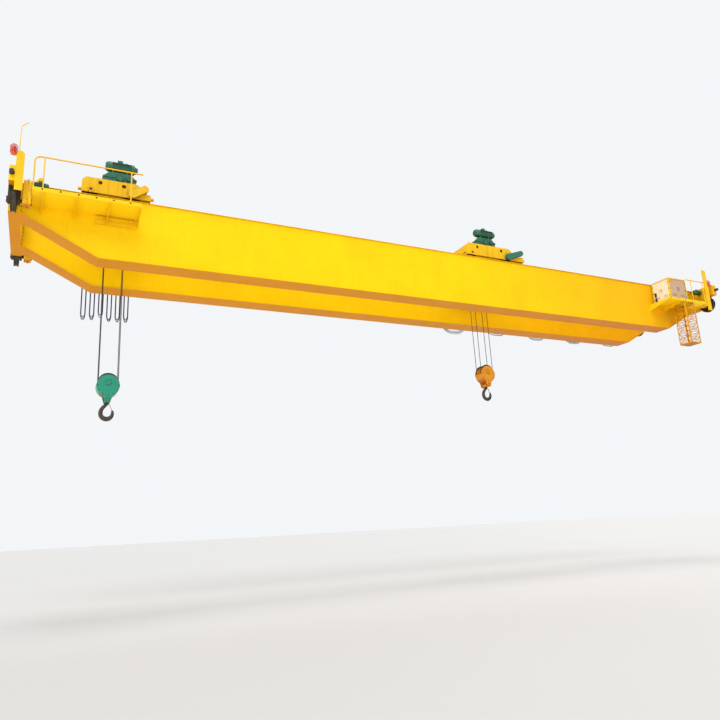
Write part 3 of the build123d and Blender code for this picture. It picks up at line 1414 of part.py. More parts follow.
def hook_block(middle, axle_z, name):
    """Cheek plates on both sides of two sheaves, a band round their lower half and a crosshead."""
    disc_z = axle_z - CHEEK_DROP
    crosshead_z = axle_z - CROSSHEAD_TOP - CROSSHEAD_HEIGHT / 2
    outer_face = OUTER_CHEEK + CHEEK_PLATE
    with BuildPart() as cheeks:
        for side in TWIN_SIDES:
            for inner in (OUTER_CHEEK, INNER_CHEEK):
                with BuildSketch(Plane.XZ.offset(-side * inner)):
                    add(cheek_outline(middle, axle_z))
                extrude(amount=-side * CHEEK_PLATE)
        with BuildSketch(Plane.XZ):
            with Locations((middle, disc_z)):
                Circle(CHEEK_RADIUS)
                Circle(CHEEK_RADIUS - CHEEK_BAND, mode=Mode.SUBTRACT)
            with Locations((middle, disc_z + CHEEK_RADIUS / 2)):
                Rectangle(2 * CHEEK_RADIUS, CHEEK_RADIUS, mode=Mode.SUBTRACT)
        extrude(amount=outer_face, both=True)
        with BuildSketch(Plane.XZ):
            with Locations((middle, crosshead_z)):
                Rectangle(2 * NECK_END, CROSSHEAD_HEIGHT)
        extrude(amount=INNER_CHEEK, both=True)
        with BuildSketch(Plane.XZ):
            with Locations((middle, crosshead_z)):
                Circle(CROSSHEAD_PIN)
            with Locations((middle, axle_z)):
                Circle(BLOCK_PIN)
        extrude(amount=outer_face, both=True)
        for side in TWIN_SIDES:
            with BuildSketch(Plane.XZ.offset(-side * outer_face)):
                with Locations((middle, axle_z)):
                    Circle(BLOCK_PIN_COVER)
                with Locations((middle, crosshead_z)):
                    Circle(2 * CROSSHEAD_PIN)
            extrude(amount=-side * BLOCK_PIN_COVER_THICK)
        with BuildSketch(Plane.XY.offset(crosshead_z)):
            with Locations((middle, 0)):
                Circle(HOOK_SHANK + RUN_CLEAR)
        extrude(amount=CROSSHEAD_HEIGHT, both=True, mode=Mode.SUBTRACT)
    save(cheeks.part, f"{name}_cheeks")
    profile = sheave_profile(FALL_X, BLOCK_PIN + RUN_CLEAR)
    sheaves = [turned(profile, (middle, side * FALL_Y, axle_z), (0, 1, 0)) for side in TWIN_SIDES]
    save(joined(sheaves), f"{name}_sheaves")


def hook(middle, axle_z, name):
    """Forged single hook: a round shank that runs into a bowl, thick at the bottom and thin at the tip."""
    bowl_z = axle_z - HOOK_DROP
    crosshead_top = axle_z - CROSSHEAD_TOP
    sections = (
        (0.0, 3.15, 0.45, 0.45),
        (-0.3, 2.5, 0.48, 0.46),
        (-1.15, 1.6, 0.56, 0.5),
        (-1.66, 0.4, 0.62, 0.52),
        (-1.42, -0.95, 0.66, 0.54),
        (-0.2, -1.72, 0.7, 0.55),
        (1.2, -1.2, 0.6, 0.5),
        (1.66, 0.0, 0.45, 0.42),
        (1.58, 0.85, 0.26, 0.3),
    )
    points = [Vector(middle + x * HOOK_INNER, 0, bowl_z + z * HOOK_INNER) for x, z, _, _ in sections]
    ways = [Vector(0, 0, -1)]
    ways += [after - before for before, after in zip(points, points[2:])]
    ways.append(points[-1] - points[-2])
    with BuildPart() as body:
        for point, way, (_, _, wide, thick) in zip(points, ways, sections):
            with BuildSketch(Plane(origin=point, x_dir=(0, 1, 0), z_dir=way)):
                Ellipse(thick * HOOK_INNER, wide * HOOK_INNER)
        loft()
        with BuildSketch(Plane.XY.offset(points[0].Z)):
            with Locations((middle, 0)):
                Circle(HOOK_SHANK)
        extrude(amount=crosshead_top - points[0].Z)
        with BuildSketch(Plane.XY.offset(crosshead_top + SEAT_CLEAR)):
            with Locations((middle, 0)):
                RegularPolygon(HOOK_NUT, 6)
        extrude(amount=HOOK_NUT_HEIGHT)
        with BuildSketch(Plane.XY.offset(crosshead_top)):
            with Locations((middle, 0)):
                Circle(HOOK_SHANK)
        extrude(amount=HOOK_NUT_HEIGHT)
    save(body.part, name)


def festoon_track():
    """Beam for the cable carriers along the far girder, on brackets from its web."""
    web_y = GIRDER_Y + WEB_OUTSIDE
    arm_run = 2 * (TRACK_HALF - TRACK_ARM_INSET)
    with BuildPart() as track:
        with BuildSketch(Plane.YZ.offset(-TRACK_HALF)):
            with Locations((TRACK_Y, TRACK_TOP - TRACK_HEIGHT / 2)):
                Rectangle(TRACK_WIDTH, TRACK_HEIGHT)
            hollow = (TRACK_WIDTH - TRACK_PLATE) / 2
            for flank in (-1, 1):
                with Locations((TRACK_Y + flank * (hollow + TRACK_PLATE) / 2, TRACK_TOP - TRACK_HEIGHT / 2)):
                    Rectangle(hollow, TRACK_HEIGHT - 2 * TRACK_PLATE, mode=Mode.SUBTRACT)
        extrude(amount=2 * TRACK_HALF)
        for number in range(TRACK_ARMS):
            bracket_x = TRACK_ARM_INSET - TRACK_HALF + number * arm_run / (TRACK_ARMS - 1)
            with BuildSketch(Plane.YZ.offset(bracket_x)):
                with BuildLine():
                    Polyline(
                        (web_y, TRACK_TOP + TRACK_PLATE),
                        (TRACK_Y + TRACK_WIDTH / 2, TRACK_TOP + TRACK_PLATE),
                        (TRACK_Y + TRACK_WIDTH / 2, TRACK_TOP),
                        (web_y + TRACK_ARM, TRACK_TOP),
                        (web_y, TRACK_TOP - TRACK_ARM),
                        close=True,
                    )
                make_face()
            extrude(amount=TRACK_ARM / 2, both=True)
    save(track.part, "festoon_track")


def corner_radii(points):
    """Radius of the arc at each inner point of a route, as large as its two runs allow."""
    radii = []
    for before, corner, after in zip(points, points[1:], points[2:]):
        first = Vector(*corner) - Vector(*before)
        second = Vector(*after) - Vector(*corner)
        half_turn = radians(first.get_angle(second)) / 2
        radii.append(0.45 * min(first.length, second.length) / tan(half_turn))
    return radii


def cable_carrier(saddle_x):
    """Hanger round the cable with a roller on each side of the track's web."""
    inside = CABLE_RADIUS + SIDE_CLEAR
    outside = TRACK_WIDTH / 2 + SIDE_CLEAR + CARRIER_PLATE
    roller_z = TRACK_BOTTOM + TRACK_PLATE + ROLLER_RADIUS + RUN_CLEAR
    floor_z = SADDLE_Z - CABLE_RADIUS - RUN_CLEAR
    roof_z = TRACK_BOTTOM - SIDE_CLEAR
    with BuildPart() as carrier:
        with BuildSketch(Plane.YZ.offset(saddle_x)):
            with Locations((TRACK_Y, (roller_z + roof_z - CARRIER_PLATE) / 2)):
                Rectangle(2 * outside, roller_z - roof_z + CARRIER_PLATE + ROLLER_RADIUS)
            with Locations((TRACK_Y, (roller_z + ROLLER_RADIUS + roof_z) / 2 + SIDE_CLEAR)):
                Rectangle(
                    2 * (outside - CARRIER_PLATE),
                    roller_z + ROLLER_RADIUS - roof_z + 2 * SIDE_CLEAR,
                    mode=Mode.SUBTRACT,
                )
            with Locations((TRACK_Y, (roof_z - CARRIER_PLATE + floor_z) / 2)):
                Rectangle(2 * (inside + CARRIER_PLATE), roof_z - floor_z + CARRIER_PLATE)
                Rectangle(2 * inside, roof_z - floor_z - CARRIER_PLATE, mode=Mode.SUBTRACT)
        extrude(amount=CARRIER_HALF, both=True)
        for flank in (-1, 1):
            with BuildSketch(Plane.XZ.offset(-(TRACK_Y + flank * (outside - CARRIER_PLATE)))):
                with Locations((saddle_x, roller_z)):
                    Circle(ROLLER_RADIUS)
            extrude(amount=flank * (TRACK_WIDTH / 2 - SIDE_CLEAR))
    return carrier.part


def festoon(fixed_x, arm_x, loops, bottom, shape, number):
    """Cable bundle in hanging loops from a fixed end to a tow arm, and its carriers on the track."""
    way = 1 if arm_x > fixed_x else -1
    pitch = abs(arm_x - fixed_x) / loops
    width = pitch - CARRIER_RUN
    points = []
    saddles = []
    for loop in range(loops):
        left = fixed_x + way * loop * pitch
        points += [
            (left + way * across * width, TRACK_Y, SADDLE_Z - down * (SADDLE_Z - bottom))
            for across, down in shape
        ]
        saddles.append(left + way * (width + CARRIER_RUN / 2))
    points.append((arm_x, TRACK_Y, SADDLE_Z))
    with BuildPart() as cable:
        with BuildLine():
            route = FilletPolyline(*points, radius=corner_radii(points))
        with BuildSketch(Plane(origin=route @ 0, z_dir=route % 0)):
            Circle(CABLE_RADIUS)
        sweep()
    save(cable.part, f"festoon_cable_{number}")

    with BuildPart() as carriers:
        add([cable_carrier(saddle_x) for saddle_x in saddles[:-1]])
        with BuildSketch(Plane.XY.offset(SADDLE_Z)):
            with Locations((fixed_x, TRACK_Y)):
                Rectangle(CARRIER_RUN / 2, TRACK_WIDTH)
        extrude(amount=TRACK_BOTTOM - SADDLE_Z)
    save(carriers.part, f"festoon_carriers_{number}")


def festoons(arm_1, arm_2):
    """Bunched loops beside the left trolley and spread loops to the right of the other."""
    narrow = ((0, 0), (0, 1), (1, 1), (1, 0))
    wide = (
        (0, 0),
        (0, 0.08),
        (0.05, 0.42),
        (0.17, 0.76),
        (0.36, 0.97),
        (0.64, 0.97),
        (0.83, 0.76),
        (0.95, 0.42),
        (1, 0),
    )
    festoon(arm_1 - BUNCH_LOOPS * BUNCH_PITCH, arm_1, BUNCH_LOOPS, BUNCH_BOTTOM, narrow, 1)
    festoon(TRACK_HALF - ARM_INSET, arm_2, SPREAD_LOOPS, SPREAD_BOTTOM, wide, 2)


def trolley(middle, left_x, right_x, shelf, arm_x, axle_z, number):
    """All pieces of one trolley and its hook block."""
    name = f"trolley_{number}"
    trolley_frame(middle, left_x, right_x, shelf, arm_x, name)
    trolley_wheels(left_x, right_x, name)
    cross_drive(right_x, shelf, name)
    hoist_drum(middle, name)
    hoist_drive(middle, name)
    upper_sheave(middle, name)
    ropes(middle, axle_z, name)
    hook_block(middle, axle_z, f"hook_block_{number}")
    hook(middle, axle_z, f"hook_{number}")


girder(NEAR, "near")
girder(FAR, "far")
trolley_rails()
rail_stops()
end_carriage(LEFT, "left")
end_carriage(RIGHT, "right")
bridge_wheels()
axle_boxes()
buffers()
travel_gearboxes()
travel_motors()
walkways()
railings()
control_cabinet()
inspection_cage()
lamp_posts()
festoon_track()

right_1 = TROLLEY_1_X + TROLLEY_1_RIGHT
cable_end_1 = right_1 + TROLLEY_1_SHELF - ARM_INSET
arm_1_x = cable_end_1 + ARM_BAR / 2
left_2 = TROLLEY_2_X - TROLLEY_2_LEFT
cable_end_2 = left_2 + ARM_INSET
arm_2_x = cable_end_2 - ARM_BAR / 2
festoons(cable_end_1, cable_end_2)
trolley(TROLLEY_1_X, TROLLEY_1_X - TROLLEY_1_LEFT, right_1, TROLLEY_1_SHELF, arm_1_x, HOOK_1_AXLE_Z, 1)
trolley(TROLLEY_2_X, left_2, TROLLEY_2_X + TROLLEY_2_RIGHT, TROLLEY_2_SHELF, arm_2_x, HOOK_2_AXLE_Z, 2)
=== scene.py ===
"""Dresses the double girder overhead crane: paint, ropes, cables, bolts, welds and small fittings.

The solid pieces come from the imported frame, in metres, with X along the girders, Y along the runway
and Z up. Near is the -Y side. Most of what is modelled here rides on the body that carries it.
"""
import json
import math
import random

import bpy
from mathutils import Matrix, Vector

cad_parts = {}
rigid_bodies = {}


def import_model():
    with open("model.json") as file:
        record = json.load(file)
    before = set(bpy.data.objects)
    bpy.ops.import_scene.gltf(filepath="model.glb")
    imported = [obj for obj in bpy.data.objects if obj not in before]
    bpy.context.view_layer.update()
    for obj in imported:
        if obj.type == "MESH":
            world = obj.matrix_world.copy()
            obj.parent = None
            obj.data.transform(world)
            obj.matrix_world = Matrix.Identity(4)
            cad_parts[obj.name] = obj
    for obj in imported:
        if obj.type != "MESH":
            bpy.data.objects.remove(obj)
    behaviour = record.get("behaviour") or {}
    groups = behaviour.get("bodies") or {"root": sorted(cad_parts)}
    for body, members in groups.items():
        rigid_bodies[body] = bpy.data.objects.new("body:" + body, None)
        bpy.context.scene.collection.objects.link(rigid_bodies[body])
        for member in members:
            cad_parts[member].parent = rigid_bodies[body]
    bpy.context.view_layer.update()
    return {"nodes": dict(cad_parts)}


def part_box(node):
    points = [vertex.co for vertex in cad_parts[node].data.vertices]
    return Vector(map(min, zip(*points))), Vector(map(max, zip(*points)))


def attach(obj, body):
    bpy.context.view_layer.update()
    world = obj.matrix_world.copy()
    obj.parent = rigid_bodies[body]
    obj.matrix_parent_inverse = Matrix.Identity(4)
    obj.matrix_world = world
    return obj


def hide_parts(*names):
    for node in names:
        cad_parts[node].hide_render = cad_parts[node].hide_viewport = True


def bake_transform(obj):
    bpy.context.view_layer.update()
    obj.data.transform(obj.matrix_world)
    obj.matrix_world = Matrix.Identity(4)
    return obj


bl_info = {
    "name": "Overhead crane",
    "version": (1, 0, 0),
    "blender": (4, 5, 0),
    "location": "View3D > Sidebar > Crane",
    "description": "Dresses a double girder overhead crane with its finishes and fittings",
    "category": "Add Mesh",
}

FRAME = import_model()
SEED = 11
random.seed(SEED)

NEAR, FAR = -1, 1
LEFT, RIGHT = -1, 1
SIDES = (NEAR, FAR)
ENDS = (LEFT, RIGHT)
FLANKS = (-1, 1)
SIDE_NAMES = {NEAR: "near", FAR: "far"}
UP = Vector((0, 0, 1))

# Girders and carriages
WEB_LOW, WEB_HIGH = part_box("girder_near_webs")
GIRDER_END = WEB_HIGH.x
GIRDER_Y = -(WEB_LOW.y + WEB_HIGH.y) / 2
WEB_HALF = (WEB_HIGH.y - WEB_LOW.y) / 2
TOP_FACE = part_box("girder_near_top_flange")[1].z
UNDER_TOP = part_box("girder_near_top_flange")[0].z
BELLY_Z = WEB_LOW.z
END_Z = 0.186
BELLY_X = 12.0
SLOPE_X = 13.98
RAIL_X = 14.25
WHEEL_Y = 2.0
WHEEL_Z = 0.315
CARRIAGE_HALF_X = 0.15
RAIL_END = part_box("trolley_rails")[1].x
RAIL_FOOT_HALF = 0.045
CLIP_HEIGHT = 0.026
DRIVE_X = 13.94
DRIVE_FACE = 13.84
MOTOR_LIFT = 0.525
LAMP_FEET = ((-14.325, -2.4675, 1.44), (13.885, -2.4558, 1.0))
LEAD_RADIUS = 0.011

# Trolleys, as middle, left end, right end, shelf and hoist axle of each
TROLLEYS = {
    1: {"middle": -11.46, "left": -12.55, "right": -10.85, "shelf": 0.29, "axle": -4.26},
    2: {"middle": 2.61, "left": 1.4, "right": 3.6, "shelf": 0.6, "axle": -3.12},
}
DRUM_Z = 2.16
DRUM_TURNS = 9.5
GROOVE_PITCH = 0.034
STAND_Y = 0.686
FRAME_TOP = 1.83
FRAME_BOTTOM = 1.33
FRAME_NEAR_Y = -1.315
AXLE_Z = 1.4303
FALL_X = 0.28
FALL_Y = 0.15
EQUALISER_Z = 1.56
CASE_Y = -0.826
CASE_TOP = 2.32
MOTOR_HALF = 0.42
MOTOR_Z = 2.54
MOTOR_BOX_TOP = 2.7545
BRAKE = ((0, 0), (0.118, 0), (0.118, 0.05), (0.098, 0.056), (0.098, 0.1), (0.05, 0.116), (0, 0.116))
LATCH_BOW = Vector((0.012, 0, 0.006))
ROPE_STRANDS = 6
STRAND_VALLEY = 0.84

# Cable runs on the far side, as fixed end, moving end, loops, lowest point and whether the loops hang wide
TRACK_Y = 1.95
TRACK_UNDER = 0.93
ROLLER_Z = 0.9583
SADDLE_Z = 0.81
SADDLE_RUN = 0.14
FESTOONS = {
    1: {"fixed": -12.24, "moving": -10.62, "loops": 6, "bottom": -1.9, "wide": False},
    2: {"fixed": 12.94, "moving": 1.46, "loops": 5, "bottom": -1.1, "wide": True},
}
# Places of the cables in a bundle, in radii of a cable, and how much lower each hangs than the one before
STRANDS = ((-1.05, -1.05), (1.05, -1.05), (-1.05, 1.05), (1.05, 1.05))
STRAND_DROP = 0.035
BEND_DEPTH = 0.26
# Corners of a wide loop, as shares of its width and depth
WIDE_LOOP = (
    (0, 0), (0, 0.08), (0.05, 0.42), (0.17, 0.76), (0.36, 0.97), (0.64, 0.97), (0.83, 0.76), (0.95, 0.42), (1, 0)
)

# Near walkways
DECK_EDGE = 2.428
LEFT_DECK_Z = 0.5
RIGHT_DECK_Z = 0.15
DECK_END = 13.82
DECK_LENGTH = 2.82
END_POSTS = (13.799, 13.559)

# Painted shade that the paint takes on undersides, towards the right end and on the cabinet's near faces, and the dust
# on rubber
UNDERSIDE_SHADE = (0.56, 0.3, 0.06)
RIGHT_END_SHADE = (0.88, 0.68, 1.0)
CABINET_SHADE = (0.58, 0.46, 0.42)
DUST = (0.28, 0.25, 0.21)

# Stage: the suns' way, strength and spread in degrees, and the camera's yaw, pitch and roll
FLOOR_Z = -11.0
SUNS = (
    ("key_lamp", (0.35, 1.0, -0.95), 1.05, 30.0),
    ("top_lamp", (0.05, 0.1, -1.0), 1.1, 25.0),
    ("fill_lamp", (-0.9, -0.6, -0.7), 0.9, 30.0),
    ("left_lamp", (1.0, 0.15, -0.35), 0.9, 30.0),
)
CAMERA_PLACE = (-13.20, -20.42, -8.86)
CAMERA_TURN = (26.7, 14.5, -3.1)
CAMERA_LENS = 32.5


def size_property(name, words, metres):
    """A size that can be changed in the panel."""
    return bpy.props.FloatProperty(name=name, description=words, default=metres, unit="LENGTH")


class CraneSizes(bpy.types.PropertyGroup):
    """Sizes of the fittings."""

    bolt_head: size_property("Bolt head", "Width across the corners of a bolt head", 0.036)
    weld_radius: size_property("Weld", "Radius of the weld beads on the girders", 0.007)
    rope_radius: size_property("Rope", "Radius of the hoist ropes", 0.013)
    rope_lay: size_property("Rope lay", "Length in which a strand goes once round its rope", 0.24)
    cable_radius: size_property("Cable", "Radius of one cable of the hanging loops", 0.0095)
    clip_pitch: size_property("Rail clip pitch", "Distance between clips along a trolley rail", 0.75)
    seam_pitch: size_property("Web seam pitch", "Distance between upright seams of a girder web", 3.525)


def colour_property(name, words, colour):
    """A colour that can be changed in the panel."""
    return bpy.props.FloatVectorProperty(
        name=name, description=words, default=colour, size=3, min=0.0, max=1.0, subtype="COLOR"
    )


class CraneColours(bpy.types.PropertyGroup):
    """Colours of the finishes."""

    girder: colour_property("Girder yellow", "Paint of the girders", (0.92, 0.63, 0.005))
    fittings: colour_property("Fitting yellow", "Paint of walkways, railings and cage", (0.88, 0.55, 0.01))
    cage: colour_property("Cage orange", "Paint of the inspection cage", (0.7, 0.34, 0.008))
    trolley: colour_property("Trolley yellow", "Paint of the trolley frames", (0.84, 0.52, 0.012))
    drive: colour_property("Drive green", "Paint of motors and gear cases", (0.028, 0.16, 0.115))
    block_1: colour_property("Green block", "Paint of the left hook block", (0.02, 0.27, 0.195))
    block_2: colour_property("Orange block", "Paint of the right hook block", (0.66, 0.27, 0.015))
    cabinet: colour_property("Cabinet beige", "Paint of the control cabinet", (0.88, 0.77, 0.6))
    dirt: colour_property("Dirt", "Grease and dust on the paint", (0.1, 0.055, 0.02))
    rust: colour_property("Rust", "Rust at edges and scratches", (0.2, 0.06, 0.015))
    steel: colour_property("Bare steel", "Rolled steel of rails and treads", (0.22, 0.205, 0.19))
    iron: colour_property("Cast iron", "Wheels, drums and hooks", (0.06, 0.056, 0.052))
    rope: colour_property("Rope", "Greased wire rope", (0.05, 0.043, 0.036))
    rubber: colour_property("Rubber", "Cables and buffers", (0.018, 0.018, 0.02))
    cable_blue: colour_property("Cable blue", "Sheath of every second hanging cable", (0.03, 0.028, 0.11))
    lamp: colour_property("Lamp red", "Glass of the warning lamps", (0.62, 0.014, 0.006))
    floor: colour_property("Floor", "Floor of the studio", (0.58, 0.575, 0.565))
    floor_bounce: colour_property("Floor bounce", "Warm light that the floor throws up", (0.8, 0.7, 0.52))


def sizes():
    """The sizes that the panel shows."""
    return bpy.context.scene.crane_sizes


def colours():
    """The colours that the panel shows."""
    return bpy.context.scene.crane_colours


# Meshes


def deselect():
    """Clears the selection, so that the next operator acts on its own piece."""
    bpy.ops.object.select_all(action="DESELECT")


def select_only(pieces):
    """Selects some pieces, the first of them as the active one."""
    deselect()
    for piece in pieces:
        piece.select_set(True)
    bpy.context.view_layer.objects.active = pieces[0]


def linked(name, data):
    """A new object in the scene."""
    obj = bpy.data.objects.new(name, data)
    bpy.context.scene.collection.objects.link(obj)
    return obj


def named(obj, name):
    """Names a piece and its mesh."""
    obj.name = obj.data.name = name
    return obj


def settle(obj, name):
    """Names a piece and puts its place into its mesh."""
    bpy.ops.object.transform_apply(location=True, rotation=True, scale=True)
    return named(obj, name)


def smooth_quads(obj, smooth=True):
    """Shades the four-sided faces of a round piece smooth and leaves its ends flat."""
    for face in obj.data.polygons:
        face.use_smooth = smooth and len(face.vertices) == 4


def all_in_edit():
    """Opens the active piece for editing with all of it selected."""
    bpy.ops.object.mode_set(mode="EDIT")
    bpy.ops.mesh.select_all(action="SELECT")


def leave_edit():
    """Closes the active piece again."""
    bpy.ops.object.mode_set(mode="OBJECT")


def only_in_edit(obj, wanted):
    """Opens a piece for editing with only its wanted faces selected."""
    bpy.ops.object.mode_set(mode="EDIT")
    bpy.ops.mesh.select_mode(type="FACE")
    bpy.ops.mesh.select_all(action="DESELECT")
    leave_edit()
    for face in obj.data.polygons:
        face.select = wanted(face)
    bpy.ops.object.mode_set(mode="EDIT")


def is_cap(face):
    """Whether a face closes the end of a round bar."""
    return len(face.vertices) > 4


def plate(name, low, high, edge=0.0, segments=1):
    """Plate or block between two corners, with its edges rounded by edge."""
    deselect()
    middle = [(a + b) / 2 for a, b in zip(low, high)]
    bpy.ops.mesh.primitive_cube_add(size=1, location=middle)
    obj = bpy.context.object
    obj.scale = [abs(b - a) for a, b in zip(low, high)]
    settle(obj, name)
    if edge:
        all_in_edit()
        bpy.ops.mesh.bevel(offset=edge, segments=segments, affect="EDGES")
        leave_edit()
    return obj


def block(name, centre, halves, edge=0.0, segments=1):
    """Plate or block about a centre, by half its sizes."""
    low = [place - half for place, half in zip(centre, halves)]
    high = [place + half for place, half in zip(centre, halves)]
    return plate(name, low, high, edge, segments)


def rod(name, start, end, radius, sides, edge=0.0):
    """Round bar between two points, with its end edges rounded by edge."""
    start, end = Vector(start), Vector(end)
    deselect()
    bpy.ops.mesh.primitive_cylinder_add(
        vertices=sides,
        radius=radius,
        depth=(end - start).length,
        location=(start + end) / 2,
        rotation=(end - start).to_track_quat("Z", "Y").to_euler(),
    )
    obj = bpy.context.object
    if edge:
        only_in_edit(obj, is_cap)
        bpy.ops.mesh.inset(thickness=edge)
        bpy.ops.mesh.select_more()
        leave_edit()
        for face in obj.data.polygons:
            face.select = is_cap(face)
        bpy.ops.object.mode_set(mode="EDIT")
        bpy.ops.transform.shrink_fatten(value=edge)
        leave_edit()
    settle(obj, name)
    smooth_quads(obj)
    return obj


def turned(name, profile, centre, way, sides):
    """Round piece spun from points of radius and distance about a line through centre along way."""
    deselect()
    bpy.ops.mesh.primitive_plane_add(size=1, location=(0, 0, 0))
    obj = bpy.context.object
    obj.data.clear_geometry()
    obj.data.from_pydata([(r, 0, h) for r, h in profile], [(i, i + 1) for i in range(len(profile) - 1)], [])
    all_in_edit()
    bpy.ops.mesh.spin(steps=sides, angle=math.tau, center=(0, 0, 0), axis=(0, 0, 1))
    bpy.ops.mesh.select_all(action="SELECT")
    bpy.ops.mesh.remove_doubles(threshold=0.00002)
    bpy.ops.mesh.normals_make_consistent(inside=False)
    leave_edit()
    obj.rotation_euler = Vector(way).to_track_quat("Z", "Y").to_euler()
    obj.location = centre
    settle(obj, name)
    bpy.ops.object.shade_smooth_by_angle(angle=math.radians(35))
    return obj


def rounded(points, radius, steps=6):
    """The points of a route with an arc in place of each inner corner."""
    points = [Vector(p) for p in points]
    route = [points[0]]
    for before, corner, after in zip(points, points[1:], points[2:]):
        back, ahead = (before - corner).normalized(), (after - corner).normalized()
        half = back.angle(ahead) / 2
        reach = min(radius / math.tan(half), (before - corner).length * 0.49, (after - corner).length * 0.49)
        arc = reach * math.tan(half)
        centre = corner + (back + ahead).normalized() * (arc / math.sin(half))
        first, last = corner + back * reach - centre, corner + ahead * reach - centre
        turn = first.angle(last)
        axis = first.cross(last).normalized()
        for step in range(steps + 1):
            route.append(centre + Matrix.Rotation(turn * step / steps, 3, axis) @ first)
    route.append(points[-1])
    return route


def swept(name, points, tilts=None, **section):
    """Piece that a section sweeps along a route, turned by a tilt at each point."""
    curve = bpy.data.curves.new(name, "CURVE")
    curve.dimensions = "3D"
    curve.use_fill_caps = True
    for key, value in section.items():
        setattr(curve, key, value)
    spline = curve.splines.new("POLY")
    spline.points.add(len(points) - 1)
    for number, (point, place) in enumerate(zip(spline.points, points)):
        point.co = (*place, 1)
        if tilts:
            point.tilt = tilts[number]
    select_only([linked(name, curve)])
    bpy.ops.object.convert(target="MESH")
    return named(bpy.context.object, name)


def tube(name, points, radius, resolution=2, smooth=True):
    """Round bar that follows a route."""
    obj = swept(name, points, bevel_depth=radius, bevel_resolution=resolution)
    smooth_quads(obj, smooth)
    return obj


def laid_rope(name, points, radius, lay):
    """Stranded rope along a route: a section of six lobes that turns once in each lay."""
    profile = bpy.data.curves.new(name + "_section", "CURVE")
    outline = profile.splines.new("POLY")
    corners = 2 * ROPE_STRANDS
    outline.points.add(corners - 1)
    for number, point in enumerate(outline.points):
        reach = radius if number % 2 else radius * STRAND_VALLEY
        angle = math.tau * number / corners
        point.co = (reach * math.cos(angle), reach * math.sin(angle), 0, 1)
    outline.use_cyclic_u = True
    section = linked(name + "_section", profile)
    gone, tilts = 0.0, [0.0]
    for before, place in zip(points, points[1:]):
        gone += (Vector(place) - Vector(before)).length
        tilts.append(math.tau * gone / lay)
    obj = swept(name, points, tilts, bevel_mode="OBJECT", bevel_object=section)
    bpy.data.objects.remove(section)
    smooth_quads(obj)
    return obj


def joined(name, pieces):
    """One piece made of several."""
    select_only(pieces)
    if len(pieces) > 1:
        bpy.ops.object.join()
    return named(bpy.context.object, name)


def copies(seed, name, places):
    """One piece made of a copy of seed at each place. The seed itself goes."""
    corners, faces, smooth = [], [], []
    for place in places:
        start = len(corners)
        corners += [place @ vertex.co for vertex in seed.data.vertices]
        faces += [[start + index for index in face.vertices] for face in seed.data.polygons]
        smooth += [face.use_smooth for face in seed.data.polygons]
    mesh = bpy.data.meshes.new(name)
    mesh.from_pydata(corners, [], faces)
    mesh.polygons.foreach_set("use_smooth", smooth)
    mesh.update()
    bpy.data.objects.remove(seed)
    return linked(name, mesh)


def placed(point, way=UP, turn=0.0):
    """Matrix that stands a piece on point with its own Z along way."""
    facing = Vector(way).to_track_quat("Z", "Y").to_matrix().to_4x4()
    return Matrix.Translation(point) @ facing @ Matrix.Rotation(turn, 4, "Z")


def upright(name, sides, radius, low, high):
    """Bar with flat faces on the Z axis, between two heights."""
    deselect()
    bpy.ops.mesh.primitive_cylinder_add(
        vertices=sides, radius=radius, depth=high - low, location=(0, 0, (low + high) / 2)
    )
    return settle(bpy.context.object, name)


def bolt(width):
    """Bolt head on a washer with the end of its thread, standing on the origin."""
    washer = upright("washer", 12, width * 0.68, 0.0, width * 0.12)
    head = upright("head", 6, width / 2, width * 0.12, width * 0.54)
    only_in_edit(head, lambda face: face.normal.z > 0.9)
    bpy.ops.mesh.inset(thickness=width * 0.2)
    bpy.ops.mesh.extrude_region_move(TRANSFORM_OT_translate={"value": (0, 0, width * 0.16)})
    leave_edit()
    return joined("bolt", [washer, head])


def bolts(name, places, width=None):
    """One piece of many bolts."""
    return copies(bolt(width or sizes().bolt_head), name, places)


def ring_of(centre, way, radius, count, first=None, sweep=math.tau):
    """Places on a circle about centre, from the direction first on, each facing along way."""
    way = Vector(way)
    across = Vector(first) if first else way.orthogonal().normalized()
    other = way.cross(across).normalized()
    steps = count if sweep == math.tau else count - 1
    places = []
    for number in range(count):
        angle = sweep * number / steps
        spot = Vector(centre) + across * radius * math.cos(angle) + other * radius * math.sin(angle)
        places.append(placed(spot, way))
    return places


def hoop(name, centre, way, radius, wire, around=24):
    """Round wire bent to a ring."""
    deselect()
    bpy.ops.mesh.primitive_torus_add(
        major_radius=radius,
        minor_radius=wire,
        major_segments=around,
        minor_segments=6,
        location=centre,
        rotation=Vector(way).to_track_quat("Z", "Y").to_euler(),
    )
    obj = settle(bpy.context.object, name)
    smooth_quads(obj)
    return obj


def grille(face, way, radius):
    """Guard over a motor's fan: three hoops on a cross of flat bars."""
    face, way = Vector(face), Vector(way)
    bars = [hoop("hoop", face + way * 0.004, way, radius * share, radius * 0.035) for share in (0.35, 0.6, 0.85)]
    across = way.orthogonal().normalized()
    for turn in range(4):
        arm = Matrix.Rotation(math.pi * turn / 4, 3, way) @ across * radius * 0.9
        bars.append(rod("arm", face - arm + way * 0.002, face + arm + way * 0.002, radius * 0.03, 6))
    return bars


# Finishes


